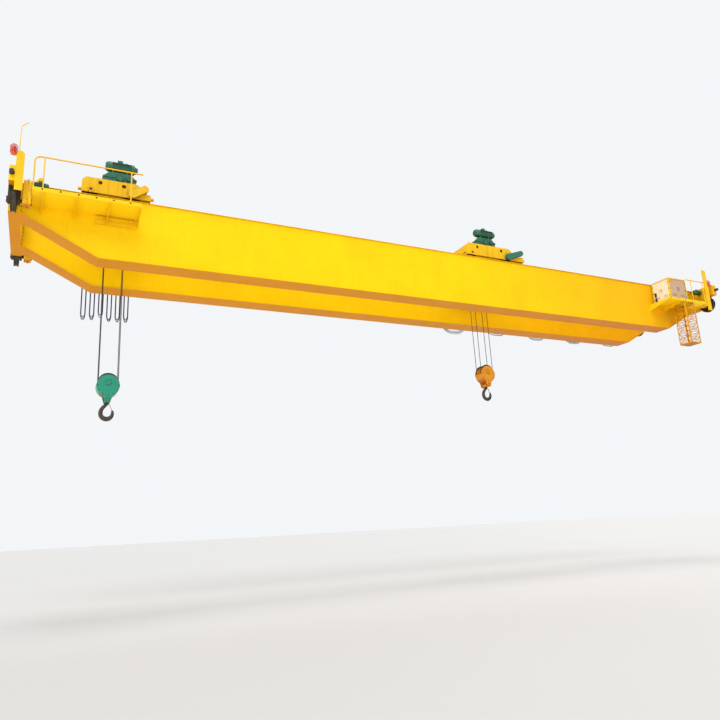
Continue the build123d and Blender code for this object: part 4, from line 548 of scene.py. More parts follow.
class Nodes:
    """A material's nodes, made one after another and linked by what feeds them."""

    def __init__(self, name):
        self.material = bpy.data.materials.new(name)
        self.material.use_nodes = True
        self.tree = self.material.node_tree
        self.tree.nodes.clear()
        self.place = self.add("ShaderNodeTexCoord").outputs["Object"]

    def add(self, kind, **settings):
        """A node with its settings. Keys that are inputs take a value or an output to link."""
        node = self.tree.nodes.new(kind)
        for key, value in settings.items():
            if key in node.inputs:
                self.feed(node.inputs[key], value)
            else:
                setattr(node, key, value)
        return node

    def feed(self, socket, value):
        """Links an output to a socket, or sets the socket's value."""
        if isinstance(value, bpy.types.NodeSocket):
            self.tree.links.new(value, socket)
        else:
            socket.default_value = value

    def stretched(self, scale):
        """Object coordinates scaled along the axes."""
        return self.add("ShaderNodeMapping", Vector=self.place, Scale=scale).outputs["Vector"]

    def along(self, axis):
        """The object coordinate along one axis."""
        return self.add("ShaderNodeSeparateXYZ", Vector=self.place).outputs[axis]

    def noise(self, scale, detail=3.0, roughness=0.55, where=None):
        """Noise in object space, as a value."""
        where = where or self.place
        node = self.add("ShaderNodeTexNoise", Vector=where, Scale=scale, Detail=detail, Roughness=roughness)
        return node.outputs["Fac"]

    def between(self, value, low, high, first=0.0, last=1.0):
        """The value mapped from low..high to first..last and held there."""
        ends = {"Value": value, "From Min": low, "From Max": high, "To Min": first, "To Max": last}
        return self.add("ShaderNodeMapRange", clamp=True, **ends).outputs["Result"]

    def reckoned(self, operation, first, second, clamp=False):
        """What an operation makes of two values."""
        node = self.add("ShaderNodeMath", operation=operation, use_clamp=clamp)
        self.feed(node.inputs[0], first)
        self.feed(node.inputs[1], second)
        return node.outputs["Value"]

    def times(self, first, second):
        """Product of two values."""
        return self.reckoned("MULTIPLY", first, second)

    def plus(self, first, second):
        """Sum of two values, held between 0 and 1."""
        return self.reckoned("ADD", first, second, True)

    def mixed(self, share, first, second, blend="MIX"):
        """Two colours mixed by share."""
        node = self.add("ShaderNodeMix", data_type="RGBA", blend_type=blend)
        self.feed(node.inputs["Factor"], share)
        self.feed(node.inputs["A"], first)
        self.feed(node.inputs["B"], second)
        return node.outputs["Result"]

    def bump(self, height, strength, distance, under=None):
        """Bump from a height value, over an earlier bump."""
        node = self.add("ShaderNodeBump", Height=height, Strength=strength, Distance=distance)
        if under is not None:
            self.feed(node.inputs["Normal"], under)
        return node.outputs["Normal"]

    def edges(self, radius):
        """1 along sharp edges, 0 on flat faces."""
        soft = self.add("ShaderNodeBevel", samples=4, Radius=radius).outputs["Normal"]
        plain = self.add("ShaderNodeNewGeometry").outputs["Normal"]
        node = self.add("ShaderNodeVectorMath", operation="DOT_PRODUCT")
        self.feed(node.inputs[0], soft)
        self.feed(node.inputs[1], plain)
        return self.between(node.outputs["Value"], 0.995, 0.9)

    def facing(self, axis):
        """How far the surface faces along an axis of the room."""
        plain = self.add("ShaderNodeNewGeometry").outputs["Normal"]
        return self.add("ShaderNodeSeparateXYZ", Vector=plain).outputs[axis]

    def finish(self, colour, roughness, normal=None, metallic=0.0, **settings):
        """The surface shader, and the finished material."""
        shader = self.add("ShaderNodeBsdfPrincipled", Roughness=roughness, Metallic=metallic, **settings)
        self.feed(shader.inputs["Base Color"], colour)
        if normal is not None:
            self.feed(shader.inputs["Normal"], normal)
        out = self.add("ShaderNodeOutputMaterial")
        self.tree.links.new(shader.outputs["BSDF"], out.inputs["Surface"])
        return self.material


def opaque(colour, factor=1.0):
    """A colour with full alpha, made lighter or darker by factor."""
    return (*[min(1.0, channel * factor) for channel in colour], 1.0)


def paint(
    name,
    colour,
    dirty=0.3,
    worn=0.25,
    gloss=0.38,
    waves=0.0,
    wear_edge=0.006,
    shine=0.25,
    outside=None,
    near_shade=None,
    right_shade=None,
):
    """Brushed-on machine paint: uneven tone, painted shade on the undersides, streaks, chips along edges.

    outside is the colour of the pieces on the near side of the trolley frames, where it differs.
    near_shade darkens the faces on the near side, and right_shade the paint towards the right end, both as painted
    shade.
    """
    made = Nodes(name)
    grime = opaque(colours().dirt)
    tone = made.between(made.noise(0.9, 4.0), 0.3, 0.7)
    base = made.mixed(tone, opaque(colour, 0.94), opaque(colour, 1.04))
    if outside:
        inner = made.between(made.along("Y"), FRAME_NEAR_Y - 0.0005, FRAME_NEAR_Y + 0.0005)
        base = made.mixed(inner, made.mixed(tone, opaque(outside, 0.92), opaque(outside, 1.04)), base)
    # Painted shade on the faces that look to the near side
    if near_shade:
        base = made.mixed(made.between(made.facing("Y"), -0.6, -0.9), base, opaque(near_shade), "MULTIPLY")
    # Painted shade that darkens the paint towards the right end
    if right_shade:
        base = made.mixed(made.between(made.along("X"), 0.0, 12.5), base, opaque(right_shade), "MULTIPLY")
    patch = made.between(made.noise(6.0, 5.0, 0.65), 0.45, 0.75, 0.0, 0.22)
    base = made.mixed(patch, base, opaque([c * 0.72 + g * 0.18 for c, g in zip(colour, colours().dirt)]))
    streak = made.noise(1.0, 4.0, 0.6, made.stretched((14.0, 14.0, 0.8)))
    streak_wall = made.between(made.facing("Z"), 0.5, 0.2)
    streak = made.times(made.between(streak, 0.52, 0.78, 0.0, dirty), streak_wall)
    base = made.mixed(streak, base, grime)
    # Painted shade: faces that look down are multiplied by a darker warm tint
    underside_shade = made.between(made.facing("Z"), -0.5, -0.85, 0.0, 0.9)
    base = made.mixed(underside_shade, base, opaque(UNDERSIDE_SHADE), "MULTIPLY")
    speck = made.between(made.noise(38.0, 6.0, 0.7), 0.66, 0.72, 0.0, worn)
    rubbed = made.times(made.edges(wear_edge), made.between(made.noise(22.0, 5.0, 0.7), 0.42, 0.6))
    bare = made.plus(speck, made.times(rubbed, worn * 2.2))
    base = made.mixed(bare, base, opaque(colours().rust))
    rough = made.between(made.noise(18.0, 4.0), 0.3, 0.7, gloss - 0.07, gloss + 0.1)
    rough = made.plus(rough, made.times(bare, 0.4))
    normal = made.bump(made.noise(160.0, 2.0), 0.12, 0.0015)
    if waves:
        normal = made.bump(made.noise(1.3, 2.0), waves, 0.02, normal)
    normal = made.bump(bare, 0.25, -0.001, normal)
    return made.finish(base, rough, normal, **{"Specular IOR Level": shine})


def chequer(name, colour):
    """Raised-pattern floor plate, painted and trodden."""
    made = Nodes(name)
    slanted = made.add(
        "ShaderNodeMapping", Vector=made.place, Rotation=(0.0, 0.0, math.radians(45)), Scale=(26.0, 26.0, 26.0)
    ).outputs["Vector"]
    cells = made.add(
        "ShaderNodeTexVoronoi", feature="F1", distance="CHEBYCHEV", Vector=slanted, Scale=1.0, Randomness=0.0
    ).outputs["Distance"]
    upper = made.between(made.facing("Z"), 0.6, 0.9)
    raised = made.times(made.between(cells, 0.22, 0.3, 1.0, 0.0), upper)
    worn = made.between(made.noise(4.0, 5.0, 0.65), 0.4, 0.7)
    base = made.mixed(made.times(raised, worn), opaque(colour, 0.92), opaque(colours().steel, 1.4))
    soiled = made.between(made.noise(9.0, 6.0, 0.7), 0.45, 0.75, 0.0, 0.6)
    soiled = made.times(soiled, made.between(upper, 0.0, 1.0, 0.15, 1.0))
    base = made.mixed(soiled, base, opaque(colours().dirt))
    rough = made.between(worn, 0.0, 1.0, 0.5, 0.38)
    return made.finish(base, rough, made.bump(raised, 0.7, 0.003), **{"Specular IOR Level": 0.25})


def metal(name, colour, rough=0.45, rusty=0.4, grain=(1.0, 1.0, 1.0)):
    """Bare steel or iron with rust, grease and a grain along one axis."""
    made = Nodes(name)
    tone = made.between(made.noise(9.0, 5.0, 0.6, made.stretched(grain)), 0.3, 0.7)
    base = made.mixed(tone, opaque(colour, 0.7), opaque(colour, 1.25))
    rusted = made.between(made.noise(14.0, 6.0, 0.7), 0.52, 0.68, 0.0, rusty)
    base = made.mixed(rusted, base, opaque(colours().rust))
    base = made.mixed(made.times(made.edges(0.004), 0.5), base, opaque(colour, 2.4))
    roughness = made.between(made.noise(30.0, 4.0), 0.3, 0.7, rough - 0.08, rough + 0.12)
    roughness = made.plus(roughness, made.times(rusted, 0.5))
    normal = made.bump(made.noise(220.0, 3.0), 0.2, 0.001)
    normal = made.bump(made.noise(26.0, 4.0), 0.15, 0.002, normal)
    return made.finish(base, roughness, normal, 0.85)


def rope_finish(name, colour):
    """Greased wires laid at a slant, with brighter rubbed strands."""
    made = Nodes(name)
    wires = made.add(
        "ShaderNodeTexWave",
        wave_type="BANDS",
        bands_direction="DIAGONAL",
        Vector=made.place,
        Scale=95.0,
        Distortion=0.6,
    ).outputs["Fac"]
    grease = made.between(made.noise(3.0, 4.0), 0.35, 0.65)
    base = made.mixed(made.times(wires, grease), opaque(colour), opaque(colours().steel, 0.7))
    normal = made.bump(wires, 0.5, 0.0015)
    return made.finish(base, made.between(grease, 0.0, 1.0, 0.32, 0.55), normal, 0.7)


def rubber(name, colour, dusty=0.35, near=None):
    """Matt rubber with dust on its upper faces. near is the colour of the cables on the track's near side."""
    made = Nodes(name)
    base = made.mixed(made.between(made.noise(5.0, 4.0), 0.3, 0.7), opaque(colour), opaque(colour, 2.0))
    if near:
        beyond = made.between(made.along("Y"), TRACK_Y - 0.0005, TRACK_Y + 0.0005)
        base = made.mixed(beyond, opaque(near), base)
    dust = made.between(made.facing("Z"), 0.0, 0.9, 0.0, dusty)
    dust = made.times(dust, made.between(made.noise(11.0, 5.0), 0.35, 0.65))
    base = made.mixed(dust, base, opaque(DUST))
    normal = made.bump(made.noise(260.0, 2.0), 0.25, 0.0008)
    return made.finish(base, made.between(made.noise(20.0), 0.3, 0.7, 0.55, 0.78), normal)


def lamp_glass(name, colour):
    """Ribbed red lamp cover with soot on it."""
    made = Nodes(name)
    ribs = made.add(
        "ShaderNodeTexWave", wave_type="BANDS", bands_direction="Z", Vector=made.place, Scale=28.0, Distortion=0.0
    ).outputs["Fac"]
    base = made.mixed(ribs, opaque(colour, 0.7), opaque(colour, 1.25))
    base = made.mixed(made.between(made.noise(12.0, 5.0), 0.5, 0.75, 0.0, 0.35), base, opaque(colours().dirt))
    rough = made.between(made.noise(25.0), 0.3, 0.7, 0.14, 0.3)
    gloss = {"Coat Weight": 0.5, "Specular IOR Level": 0.6}
    return made.finish(base, rough, made.bump(ribs, 0.6, 0.003), **gloss)


FINISHES = {}


def cover(piece, finish):
    """Gives a piece or a named solid its finish."""
    obj = FRAME["nodes"][piece] if isinstance(piece, str) else piece
    obj.data.materials.clear()
    obj.data.materials.append(FINISHES[finish])
    return obj


def dressed(obj, finish):
    """Finishes a new piece."""
    cover(obj, finish)
    return obj


def fit(obj, finish, body):
    """Finishes a new piece and lets it ride on its body."""
    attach(dressed(obj, finish), body)


class CraneFinishes(bpy.types.Operator):
    """Makes the finishes and paints the solid pieces with them"""

    bl_idname = "crane.finishes"
    bl_label = "Finishes"

    def execute(self, context):
        tone = colours()
        FINISHES.update(
            # The girder paint carries painted shade towards the right end
            girder=paint(
                "girder_paint", tone.girder, 0.07, 0.08, 0.4, 0.25, 0.004, 0.08, right_shade=RIGHT_END_SHADE
            ),
            fittings=paint("fitting_paint", tone.fittings, 0.25, 0.3, 0.42, shine=0.15),
            cage=paint("cage_paint", tone.cage, 0.35, 0.45, 0.45, shine=0.12),
            trolley=paint("trolley_paint", tone.trolley, 0.3, 0.3, 0.42, shine=0.15),
            drive=paint("drive_paint", tone.drive, 0.35, 0.25, 0.34),
            cross=paint("cross_drive_paint", tone.drive, 0.35, 0.25, 0.38, outside=tone.trolley),
            block_1=paint("green_block_paint", tone.block_1, 0.35, 0.3, 0.34),
            block_2=paint("orange_block_paint", tone.block_2, 0.4, 0.35, 0.38),
            # The cabinet's near faces carry painted shade
            cabinet=paint("cabinet_paint", tone.cabinet, 0.25, 0.15, 0.4, near_shade=CABINET_SHADE),
            deck=chequer("deck_plate", tone.girder),
            steel=metal("rail_steel", tone.steel, 0.42, 0.5, (0.3, 6.0, 6.0)),
            iron=metal("cast_iron", tone.iron, 0.5, 0.45),
            hook=metal("forged_hook", tone.iron, 0.4, 0.25),
            rope=rope_finish("wire_rope", tone.rope),
            buffer=rubber("buffer_rubber", tone.rubber),
            cable=rubber("cable_rubber", tone.rubber, 0.2),
            track_cable=rubber("track_cable_rubber", tone.rubber, 0.2, tone.cable_blue),
            lamp=lamp_glass("lamp_glass", tone.lamp),
        )
        painted = {
            "girder": [node for node in FRAME["nodes"] if node.startswith(("girder_", "end_carriage"))],
            "fittings": ["railings_near", "railings_far", "lamp_posts", "rail_stops", "travel_gearboxes"],
            "deck": ["walkways_near", "walkways_far"],
            "drive": ["travel_motors", "trolley_2_travel_drive"],
            "cross": ["trolley_1_travel_drive"],
            "cabinet": ["control_cabinet"],
            "cage": ["inspection_cage"],
            "steel": ["trolley_rails", "festoon_track"],
            "iron": ["bridge_wheels", "axle_boxes"],
            "buffer": ["buffers"],
            "lamp": ["warning_lamps"],
        }
        for finish, nodes in painted.items():
            for node in nodes:
                cover(node, finish)
        for number in TROLLEYS:
            for ending, finish in (
                ("frame", "trolley"),
                ("gearbox", "drive"),
                ("hoist_motor", "drive"),
                ("wheels", "iron"),
                ("drum", "iron"),
                ("equaliser", "iron"),
                ("ropes", "rope"),
            ):
                cover(f"trolley_{number}_{ending}", finish)
            cover(f"hook_block_{number}_sheaves", "iron")
            cover(f"hook_block_{number}_cheeks", f"block_{number}")
            cover(f"hook_{number}", "hook")
            cover(f"festoon_cable_{number}", "cable")
            cover(f"festoon_carriers_{number}", "steel")
        return {"FINISHED"}


def belly_line(y, inset):
    """Route along the lower edge of a web, from end to end."""
    low, high = BELLY_Z + inset, END_Z + inset
    half = [(BELLY_X, y, low), (SLOPE_X, y, high), (GIRDER_END, y, high)]
    return [(-x, y, z) for x, y, z in reversed(half)] + half


def belly_height(x):
    """Height of the lower edge of a web at x."""
    share = min(1.0, max(0.0, (abs(x) - BELLY_X) / (SLOPE_X - BELLY_X)))
    return BELLY_Z + share * (END_Z - BELLY_Z)


class CraneWelds(bpy.types.Operator):
    """Lays weld beads along the girders' corners and the upright seams of their webs"""

    bl_idname = "crane.welds"
    bl_label = "Girder welds"

    def execute(self, context):
        radius, pitch = sizes().weld_radius, sizes().seam_pitch
        for side in SIDES:
            beads = []
            for flank in FLANKS:
                y = side * GIRDER_Y + flank * WEB_HALF
                beads.append(tube("bead", belly_line(y, radius / 2), radius, 1, False))
                beads.append(tube("bead", [(-GIRDER_END, y, UNDER_TOP), (GIRDER_END, y, UNDER_TOP)], radius, 1, False))
                x = -GIRDER_END + pitch
                while x < GIRDER_END - pitch / 2:
                    seam = [(x, y, belly_height(x)), (x, y, UNDER_TOP)]
                    beads.append(tube("bead", seam, radius * 0.55, 1, False))
                    x += pitch
            fit(joined(f"girder_{SIDE_NAMES[side]}_weld_beads", beads), "girder", "bridge")
        return {"FINISHED"}


class CraneRailClips(bpy.types.Operator):
    """Clamps the trolley rails to the girders with bolted clips"""

    bl_idname = "crane.rail_clips"
    bl_label = "Rail clips"

    def execute(self, context):
        places, heads = [], []
        count = int(2 * RAIL_END / sizes().clip_pitch)
        for side in SIDES:
            for number in range(count):
                x = -RAIL_END + (number + 0.5) * 2 * RAIL_END / count
                for flank in FLANKS:
                    foot = Vector((x, side * GIRDER_Y + flank * RAIL_FOOT_HALF, TOP_FACE))
                    places.append(Matrix.Translation(foot) @ Matrix.Rotation(math.pi / 2 * (1 - flank), 4, "Z"))
                    heads.append(placed(foot + Vector((0, flank * 0.03, CLIP_HEIGHT))))
        clip = plate("clip", (-0.035, -0.01, 0.0), (0.035, 0.06, CLIP_HEIGHT), 0.006)
        fit(copies(clip, "rail_clips", places), "girder", "bridge")
        fit(bolts("rail_clip_bolts", heads, 0.03), "iron", "bridge")
        return {"FINISHED"}


class CraneCarriageFittings(bpy.types.Operator):
    """Bolts the girders to the end carriages and covers the axle ends"""

    bl_idname = "crane.carriage_fittings"
    bl_label = "Carriage fittings"

    def execute(self, context):
        heads, pads = [], []
        thick, half = 0.014, 0.045
        for end in ENDS:
            face = end * (RAIL_X - CARRIAGE_HALF_X)
            front = face - end * thick
            for side in SIDES:
                for flank in FLANKS:
                    y = side * GIRDER_Y + flank * (WEB_HALF + 0.052)
                    low, high = (front, y - half, END_Z + 0.02), (face, y + half, UNDER_TOP - 0.02)
                    pads.append(plate("pad", low, high, 0.003))
                    for level in range(7):
                        heads.append(placed((front, y, END_Z + 0.09 + level * 0.125), (-end, 0, 0)))
                cap = (end * (RAIL_X + CARRIAGE_HALF_X + 0.015), side * WHEEL_Y, WHEEL_Z)
                heads += ring_of(cap, (end, 0, 0), 0.076, 6)
        fit(joined("carriage_splice_pads", pads), "girder", "bridge")
        fit(bolts("carriage_bolts", heads), "iron", "bridge")
        return {"FINISHED"}


def rope_places(number):
    """Places of the two pairs of falls of a trolley, in X and Y."""
    middle = TROLLEYS[number]["middle"]
    return [(middle + across * FALL_X, along * FALL_Y) for across in (-1, 1) for along in (-1, 1)]


def coil(centre, turn, steps, run=0.0):
    """Route of a rope round an axle along Y, from its left side on through turn and by run along the axle."""
    x, y, z = centre
    route = []
    for step in range(steps + 1):
        angle = math.pi + turn * step / steps
        route.append((x + FALL_X * math.cos(angle), y + run * step / steps, z + FALL_X * math.sin(angle)))
    return route


class CraneRopes(bpy.types.Operator):
    """Hangs the stranded falls and winds the rope round drum and sheaves"""

    bl_idname = "crane.ropes"
    bl_label = "Ropes"

    def execute(self, context):
        radius, lay = sizes().rope_radius, sizes().rope_lay
        for number, trolley in TROLLEYS.items():
            middle, axle = trolley["middle"], trolley["axle"]
            falls = []
            for x, y in rope_places(number):
                top = DRUM_Z if x < middle else EQUALISER_Z
                rings = int((top - axle) / (lay / 8))
                route = [(x, y, axle + (top - axle) * step / rings) for step in range(rings + 1)]
                falls.append(laid_rope("fall", route, radius, lay))
            ropes = dressed(joined(f"trolley_{number}_rope_falls", falls), "rope")
            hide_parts(f"trolley_{number}_ropes")
            start, end = (middle, 0, EQUALISER_Z - 0.1), (middle, 0, axle + 0.4)
            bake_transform(ropes)

            steps = int(DRUM_TURNS * 26)
            wound = []
            for side in SIDES:
                start = (middle, side * FALL_Y, DRUM_Z)
                route = coil(start, -math.tau * DRUM_TURNS, steps, side * GROOVE_PITCH * DRUM_TURNS)
                wound.append(laid_rope("turns", route, radius, lay))
            over = []
            for step in range(19):
                angle = math.pi * step / 18
                over.append((middle + FALL_X, -FALL_Y * math.cos(angle), EQUALISER_Z + FALL_Y * math.sin(angle)))
            wound.append(laid_rope("turns", over, radius, lay))
            fit(joined(f"trolley_{number}_rope_turns", wound), "rope", f"trolley_{number}")

            half_turns = [coil((middle, side * FALL_Y, axle), math.pi, 24) for side in SIDES]
            under = [laid_rope("turns", route, radius, lay) for route in half_turns]
            fit(joined(f"hook_block_{number}_rope_turns", under), "rope", f"hook_block_{number}")
        return {"FINISHED"}


def hang_between(obj):
    """Puts the place of a cable piece into its mesh.
    """
    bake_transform(obj)


def run_pitch(run):
    """Distance from one carrier to the next, and its sign."""
    pitch = (run["moving"] - run["fixed"]) / run["loops"]
    return pitch, math.copysign(1, pitch)


def loop_route(run, loop, drop):
    """Route of one wide loop from the middle of one clamp to the middle of the next."""
    pitch, way = run_pitch(run)
    width = abs(pitch) - SADDLE_RUN
    left = run["fixed"] + loop * pitch
    depth = SADDLE_Z - run["bottom"] - drop
    route = [(left + way * across * width, TRACK_Y, SADDLE_Z - down * depth) for across, down in WIDE_LOOP]
    first = left - way * (SADDLE_RUN / 2 if loop else 0)
    last = left + way * (width + (SADDLE_RUN if loop == run["loops"] - 1 else SADDLE_RUN / 2))
    if loop:
        route.insert(0, (first, TRACK_Y, SADDLE_Z))
    route.append((last, TRACK_Y, SADDLE_Z))
    return rounded(route, 0.5, 8), first, last


def carrier_places(run):
    """Where the cables hang along the track at rest, from the fixed clamp to the moving one."""
    pitch, way = run_pitch(run)
    inner = [run["fixed"] + pitch * loop - way * SADDLE_RUN / 2 for loop in range(1, run["loops"])]
    return [run["fixed"], *inner, run["moving"] - way * SADDLE_RUN]


def saddle_half(run, hanger):
    """Half the length that the cables lie on a carrier. At the two ends of a run they hang straight down."""
    return 0.0 if hanger in (0, run["loops"]) else SADDLE_RUN / 2


def bend_height(run, lift):
    """Where the legs of a bunched loop end and its bend starts."""
    return run["bottom"] + lift + BEND_DEPTH


def carrier_legs(run, places, hanger, lifts, radius):
    """The cables on one carrier of the bunch: over its saddle and down on both sides to the bends."""
    strands = []
    reach = saddle_half(run, hanger)
    for out, up in STRANDS:
        y = TRACK_Y + out * radius
        lean = up * radius
        top = SADDLE_Z + lean
        left = (places[hanger] - reach - lean, y)
        right = (places[hanger] + reach + lean, y)
        route = []
        if hanger > 0:
            route += [(*left, bend_height(run, lifts[hanger - 1])), (*left, top)]
        else:
            route.append((places[0] - 0.03, y, top))
        if hanger < run["loops"]:
            route += [(*right, top), (*right, bend_height(run, lifts[hanger]))]
        else:
            route.append((run["moving"], y, top))
        strands.append(tube("strand", rounded(route, 0.04, 5), radius))
    return strands


def bunch_bend(run, places, loop, lift, strand, radius):
    """One cable's bend at the foot of a bunched loop, with its ends in X."""
    out, up = STRANDS[strand]
    first = places[loop] + saddle_half(run, loop) + up * radius
    last = places[loop + 1] - saddle_half(run, loop + 1) - up * radius
    y = TRACK_Y + out * radius
    high = bend_height(run, lift)
    depth = BEND_DEPTH - STRAND_DROP * strand - 0.03 * random.random()
    middle, half = (first + last) / 2, (last - first) / 2
    route = []
    for step in range(17):
        angle = math.pi * step / 16
        route.append((middle - half * math.cos(angle), y, high - depth * math.sin(angle)))
    return tube("bend", route, radius), first, last


class CraneFestoon(bpy.types.Operator):
    """Hangs the cable loops from the track on the far side"""

    bl_idname = "crane.festoon"
    bl_label = "Cable loops"

    def execute(self, context):
        for number, run in FESTOONS.items():
            if run["wide"]:
                self.spread(number, run)
            else:
                self.bunch(number, run)
        return {"FINISHED"}

    def bunch(self, number, run):
        """Loops that hang close together, each with stiff legs on its carriers and bends at their feet."""
        radius = sizes().cable_radius
        places = carrier_places(run)
        anchors = [*places[:-1], run["moving"]]
        lifts = [0.1 + 0.24 * random.random() for _ in range(run["loops"])]
        for hanger, anchor in enumerate(anchors):
            strands = carrier_legs(run, places, hanger, lifts, radius)
            obj = dressed(joined(f"festoon_{number}_legs_{hanger}", strands), "track_cable")
            if hanger == 0:
                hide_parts(f"festoon_cable_{number}")
            hang_between(obj)
        for loop, lift in enumerate(lifts):
            for strand in range(len(STRANDS)):
                bend, first, last = bunch_bend(run, places, loop, lift, strand, radius)
                dressed(named(bend, f"festoon_{number}_bend_{loop + 1}_{strand + 1}"), "track_cable")
                hang_between(bend)

    def spread(self, number, run):
        """Wide loops, each of which hangs between its two ends."""
        radius = sizes().cable_radius
        for loop in range(run["loops"]):
            strands = []
            lift = 0.14 + 0.24 * random.random()
            for strand, (out, up) in enumerate(STRANDS):
                route, first, last = loop_route(run, loop, lift + STRAND_DROP * strand + 0.03 * random.random())
                middle = (first + last) / 2
                shifted = []
                for point in route:
                    sink = 1 - min(1.0, (SADDLE_Z - point.z) / 0.25)
                    lean = (1 - sink) * up * radius
                    inward = lean if point.x < middle else -lean
                    shifted.append((point.x + inward, TRACK_Y + out * radius, point.z + sink * up * radius))
                strands.append(tube("strand", shifted, radius))
            obj = dressed(joined(f"festoon_{number}_loop_{loop + 1}", strands), "track_cable")
            if loop == 0:
                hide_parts(f"festoon_cable_{number}")
            hang_between(obj)


def carrier_parts(x):
    """Hanger with a roller on each side of the track's web, a fork under it and the saddle of the cables."""
    parts = []
    fork_top = 0.918
    for flank in FLANKS:
        y = TRACK_Y + flank * 0.04
        parts.append(plate("side", (x - 0.03, y - 0.004, 0.914), (x + 0.03, y + 0.004, 0.985), 0.002))
        start, end = (x, TRACK_Y + flank * 0.008, ROLLER_Z), (x, TRACK_Y + flank * 0.036, ROLLER_Z)
        parts.append(rod("roller", start, end, 0.02, 20, 0.002))
        parts.append(rod("pin", (x, y, ROLLER_Z), (x, y + flank * 0.012, ROLLER_Z), 0.009, 6))
        y = TRACK_Y + flank * 0.032
        low, high = (x - 0.02, y - 0.004, SADDLE_Z - 0.026), (x + 0.02, y + 0.004, fork_top)
        parts.append(plate("fork", low, high, 0.002))
    parts.append(block("bridge", (x, TRACK_Y, 0.916), (0.03, 0.044, 0.004), 0.002))
    parts.append(block("saddle", (x, TRACK_Y, SADDLE_Z - 0.029), (0.045, 0.036, 0.005), 0.004, 2))
    parts.append(block("strap", (x, TRACK_Y, SADDLE_Z + 0.026), (0.02, 0.03, 0.004), 0.003))
    return parts


class CraneCableCarriers(bpy.types.Operator):
    """Hangs the loops' carriers on the track and clamps the fixed end"""

    bl_idname = "crane.cable_carriers"
    bl_label = "Cable carriers"

    def execute(self, context):
        for number, run in FESTOONS.items():
            for loop, x in enumerate(carrier_places(run)[1:-1], 1):
                carrier = dressed(joined(f"festoon_{number}_carrier_{loop}", carrier_parts(x)), "steel")
                if loop == 1:
                    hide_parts(f"festoon_carriers_{number}")
                hang_between(carrier)
            x = run["fixed"]
            low, high = (x - 0.035, TRACK_Y - 0.03, SADDLE_Z - 0.03), (x + 0.035, TRACK_Y + 0.03, TRACK_UNDER)
            clamp = [
                plate("block", low, high, 0.004, 2),
                block("strap", (x, TRACK_Y, SADDLE_Z - 0.031), (0.05, 0.036, 0.005), 0.003),
            ]
            fit(joined(f"festoon_{number}_end_clamp", clamp), "steel", "bridge")
        return {"FINISHED"}


def near_posts():
    """Feet of the railing posts on the near walkways."""
    y = -(DECK_EDGE - 0.027)
    left = [(-x, y, LEFT_DECK_Z) for x in (*END_POSTS, 11.27)]
    return left + [(x, y, RIGHT_DECK_Z) for x in (*END_POSTS, 12.76)]


class CraneWalkwayFittings(bpy.types.Operator):
    """Feet of the railing posts and bolted clips of the toe boards"""

    bl_idname = "crane.walkway_fittings"
    bl_label = "Walkway fittings"

    def execute(self, context):
        feet, heads = [], []
        for x, y, z in near_posts():
            feet.append(plate("foot", (x - 0.06, y - 0.02, z), (x + 0.06, y + 0.055, z + 0.01), 0.002))
            heads += [placed((x + reach, y + 0.035, z + 0.01)) for reach in (-0.042, 0.042)]
            feet.append(hoop("collar", (x, y, z + 0.012), UP, 0.022, 0.006, 12))
        inner = -DECK_EDGE + 0.012
        for start, z in ((-DECK_END, LEFT_DECK_Z), (DECK_END - DECK_LENGTH, RIGHT_DECK_Z)):
            for step in range(6):
                x = start + 0.25 + step * 0.46
                feet.append(plate("clip", (x - 0.02, -DECK_EDGE, z + 0.03), (x + 0.02, inner, z + 0.085), 0.002))
                heads.append(placed((x, inner, z + 0.06), (0, 1, 0)))
        fit(joined("walkway_post_feet", feet), "fittings", "bridge")
        fit(bolts("walkway_bolts", heads, 0.024), "iron", "bridge")
        return {"FINISHED"}


def handle(foot, out):
    """Upright bow handle about a point on a face, standing out by out."""
    foot, out, half = Vector(foot), Vector(out), UP * 0.07
    return tube("handle", rounded([foot - half, foot - half + out, foot + half + out, foot + half], 0.012), 0.006)


class CraneCabinetFittings(bpy.types.Operator):
    """Handles, hinges, vents and cables of the control cabinet"""

    bl_idname = "crane.cabinet_fittings"
    bl_label = "Cabinet fittings"

    def execute(self, context):
        low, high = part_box("control_cabinet")
        door = 0.005
        left, near = low.x - door, low.y - door
        middle_x, middle_y = (low.x + high.x) / 2, (low.y + high.y) / 2
        parts = []
        for across in (-0.048, 0.048):
            parts.append(handle((left, middle_y + across, low.z + 0.52), (-0.03, 0, 0)))
            parts.append(handle((middle_x + across, near, low.z + 0.52), (0, -0.03, 0)))
        for share in (0.2, 0.5, 0.8):
            z = low.z + share * (high.z - low.z)
            pins = [(left - 0.006, y) for y in (low.y + 0.045, high.y - 0.045)]
            pins += [(x, near - 0.006) for x in (low.x + 0.045, high.x - 0.045)]
            parts += [rod("hinge", (*pin, z - 0.035), (*pin, z + 0.035), 0.009, 10, 0.002) for pin in pins]
        fit(joined("cabinet_handles_and_hinges", parts), "iron", "bridge")

        vents = []
        first, last = high.y - 0.18, high.y - 0.075
        for level in (0.07, 0.31):
            z = low.z + level
            vents.append(plate("vent", (left - 0.002, first, z), (left + 0.004, last, z + 0.21), 0.001))
            for slat in range(6):
                up = z + 0.02 + slat * 0.032
                vents.append(plate("slat", (left - 0.01, first + 0.008, up), (left, last - 0.008, up + 0.008)))
        fit(joined("cabinet_vents", vents), "buffer", "bridge")

        leads = []
        x, web = high.x + 0.004, -GIRDER_Y - WEB_HALF - 0.05
        for number in range(5):
            y = high.y - 0.1 - number * 0.04
            deck = RIGHT_DECK_Z + 0.03
            level = deck + number * 0.03
            route = [
                (x - 0.02, y, low.z + 0.2),
                (x + 0.05, y, low.z + 0.2),
                (x + 0.06, y, deck),
                (x + 0.07, web, level),
                (13.3, web, level),
            ]
            leads.append(tube("lead", rounded(route, 0.06), LEAD_RADIUS))
        fit(joined("cabinet_leads", leads), "cable", "bridge")
        return {"FINISHED"}


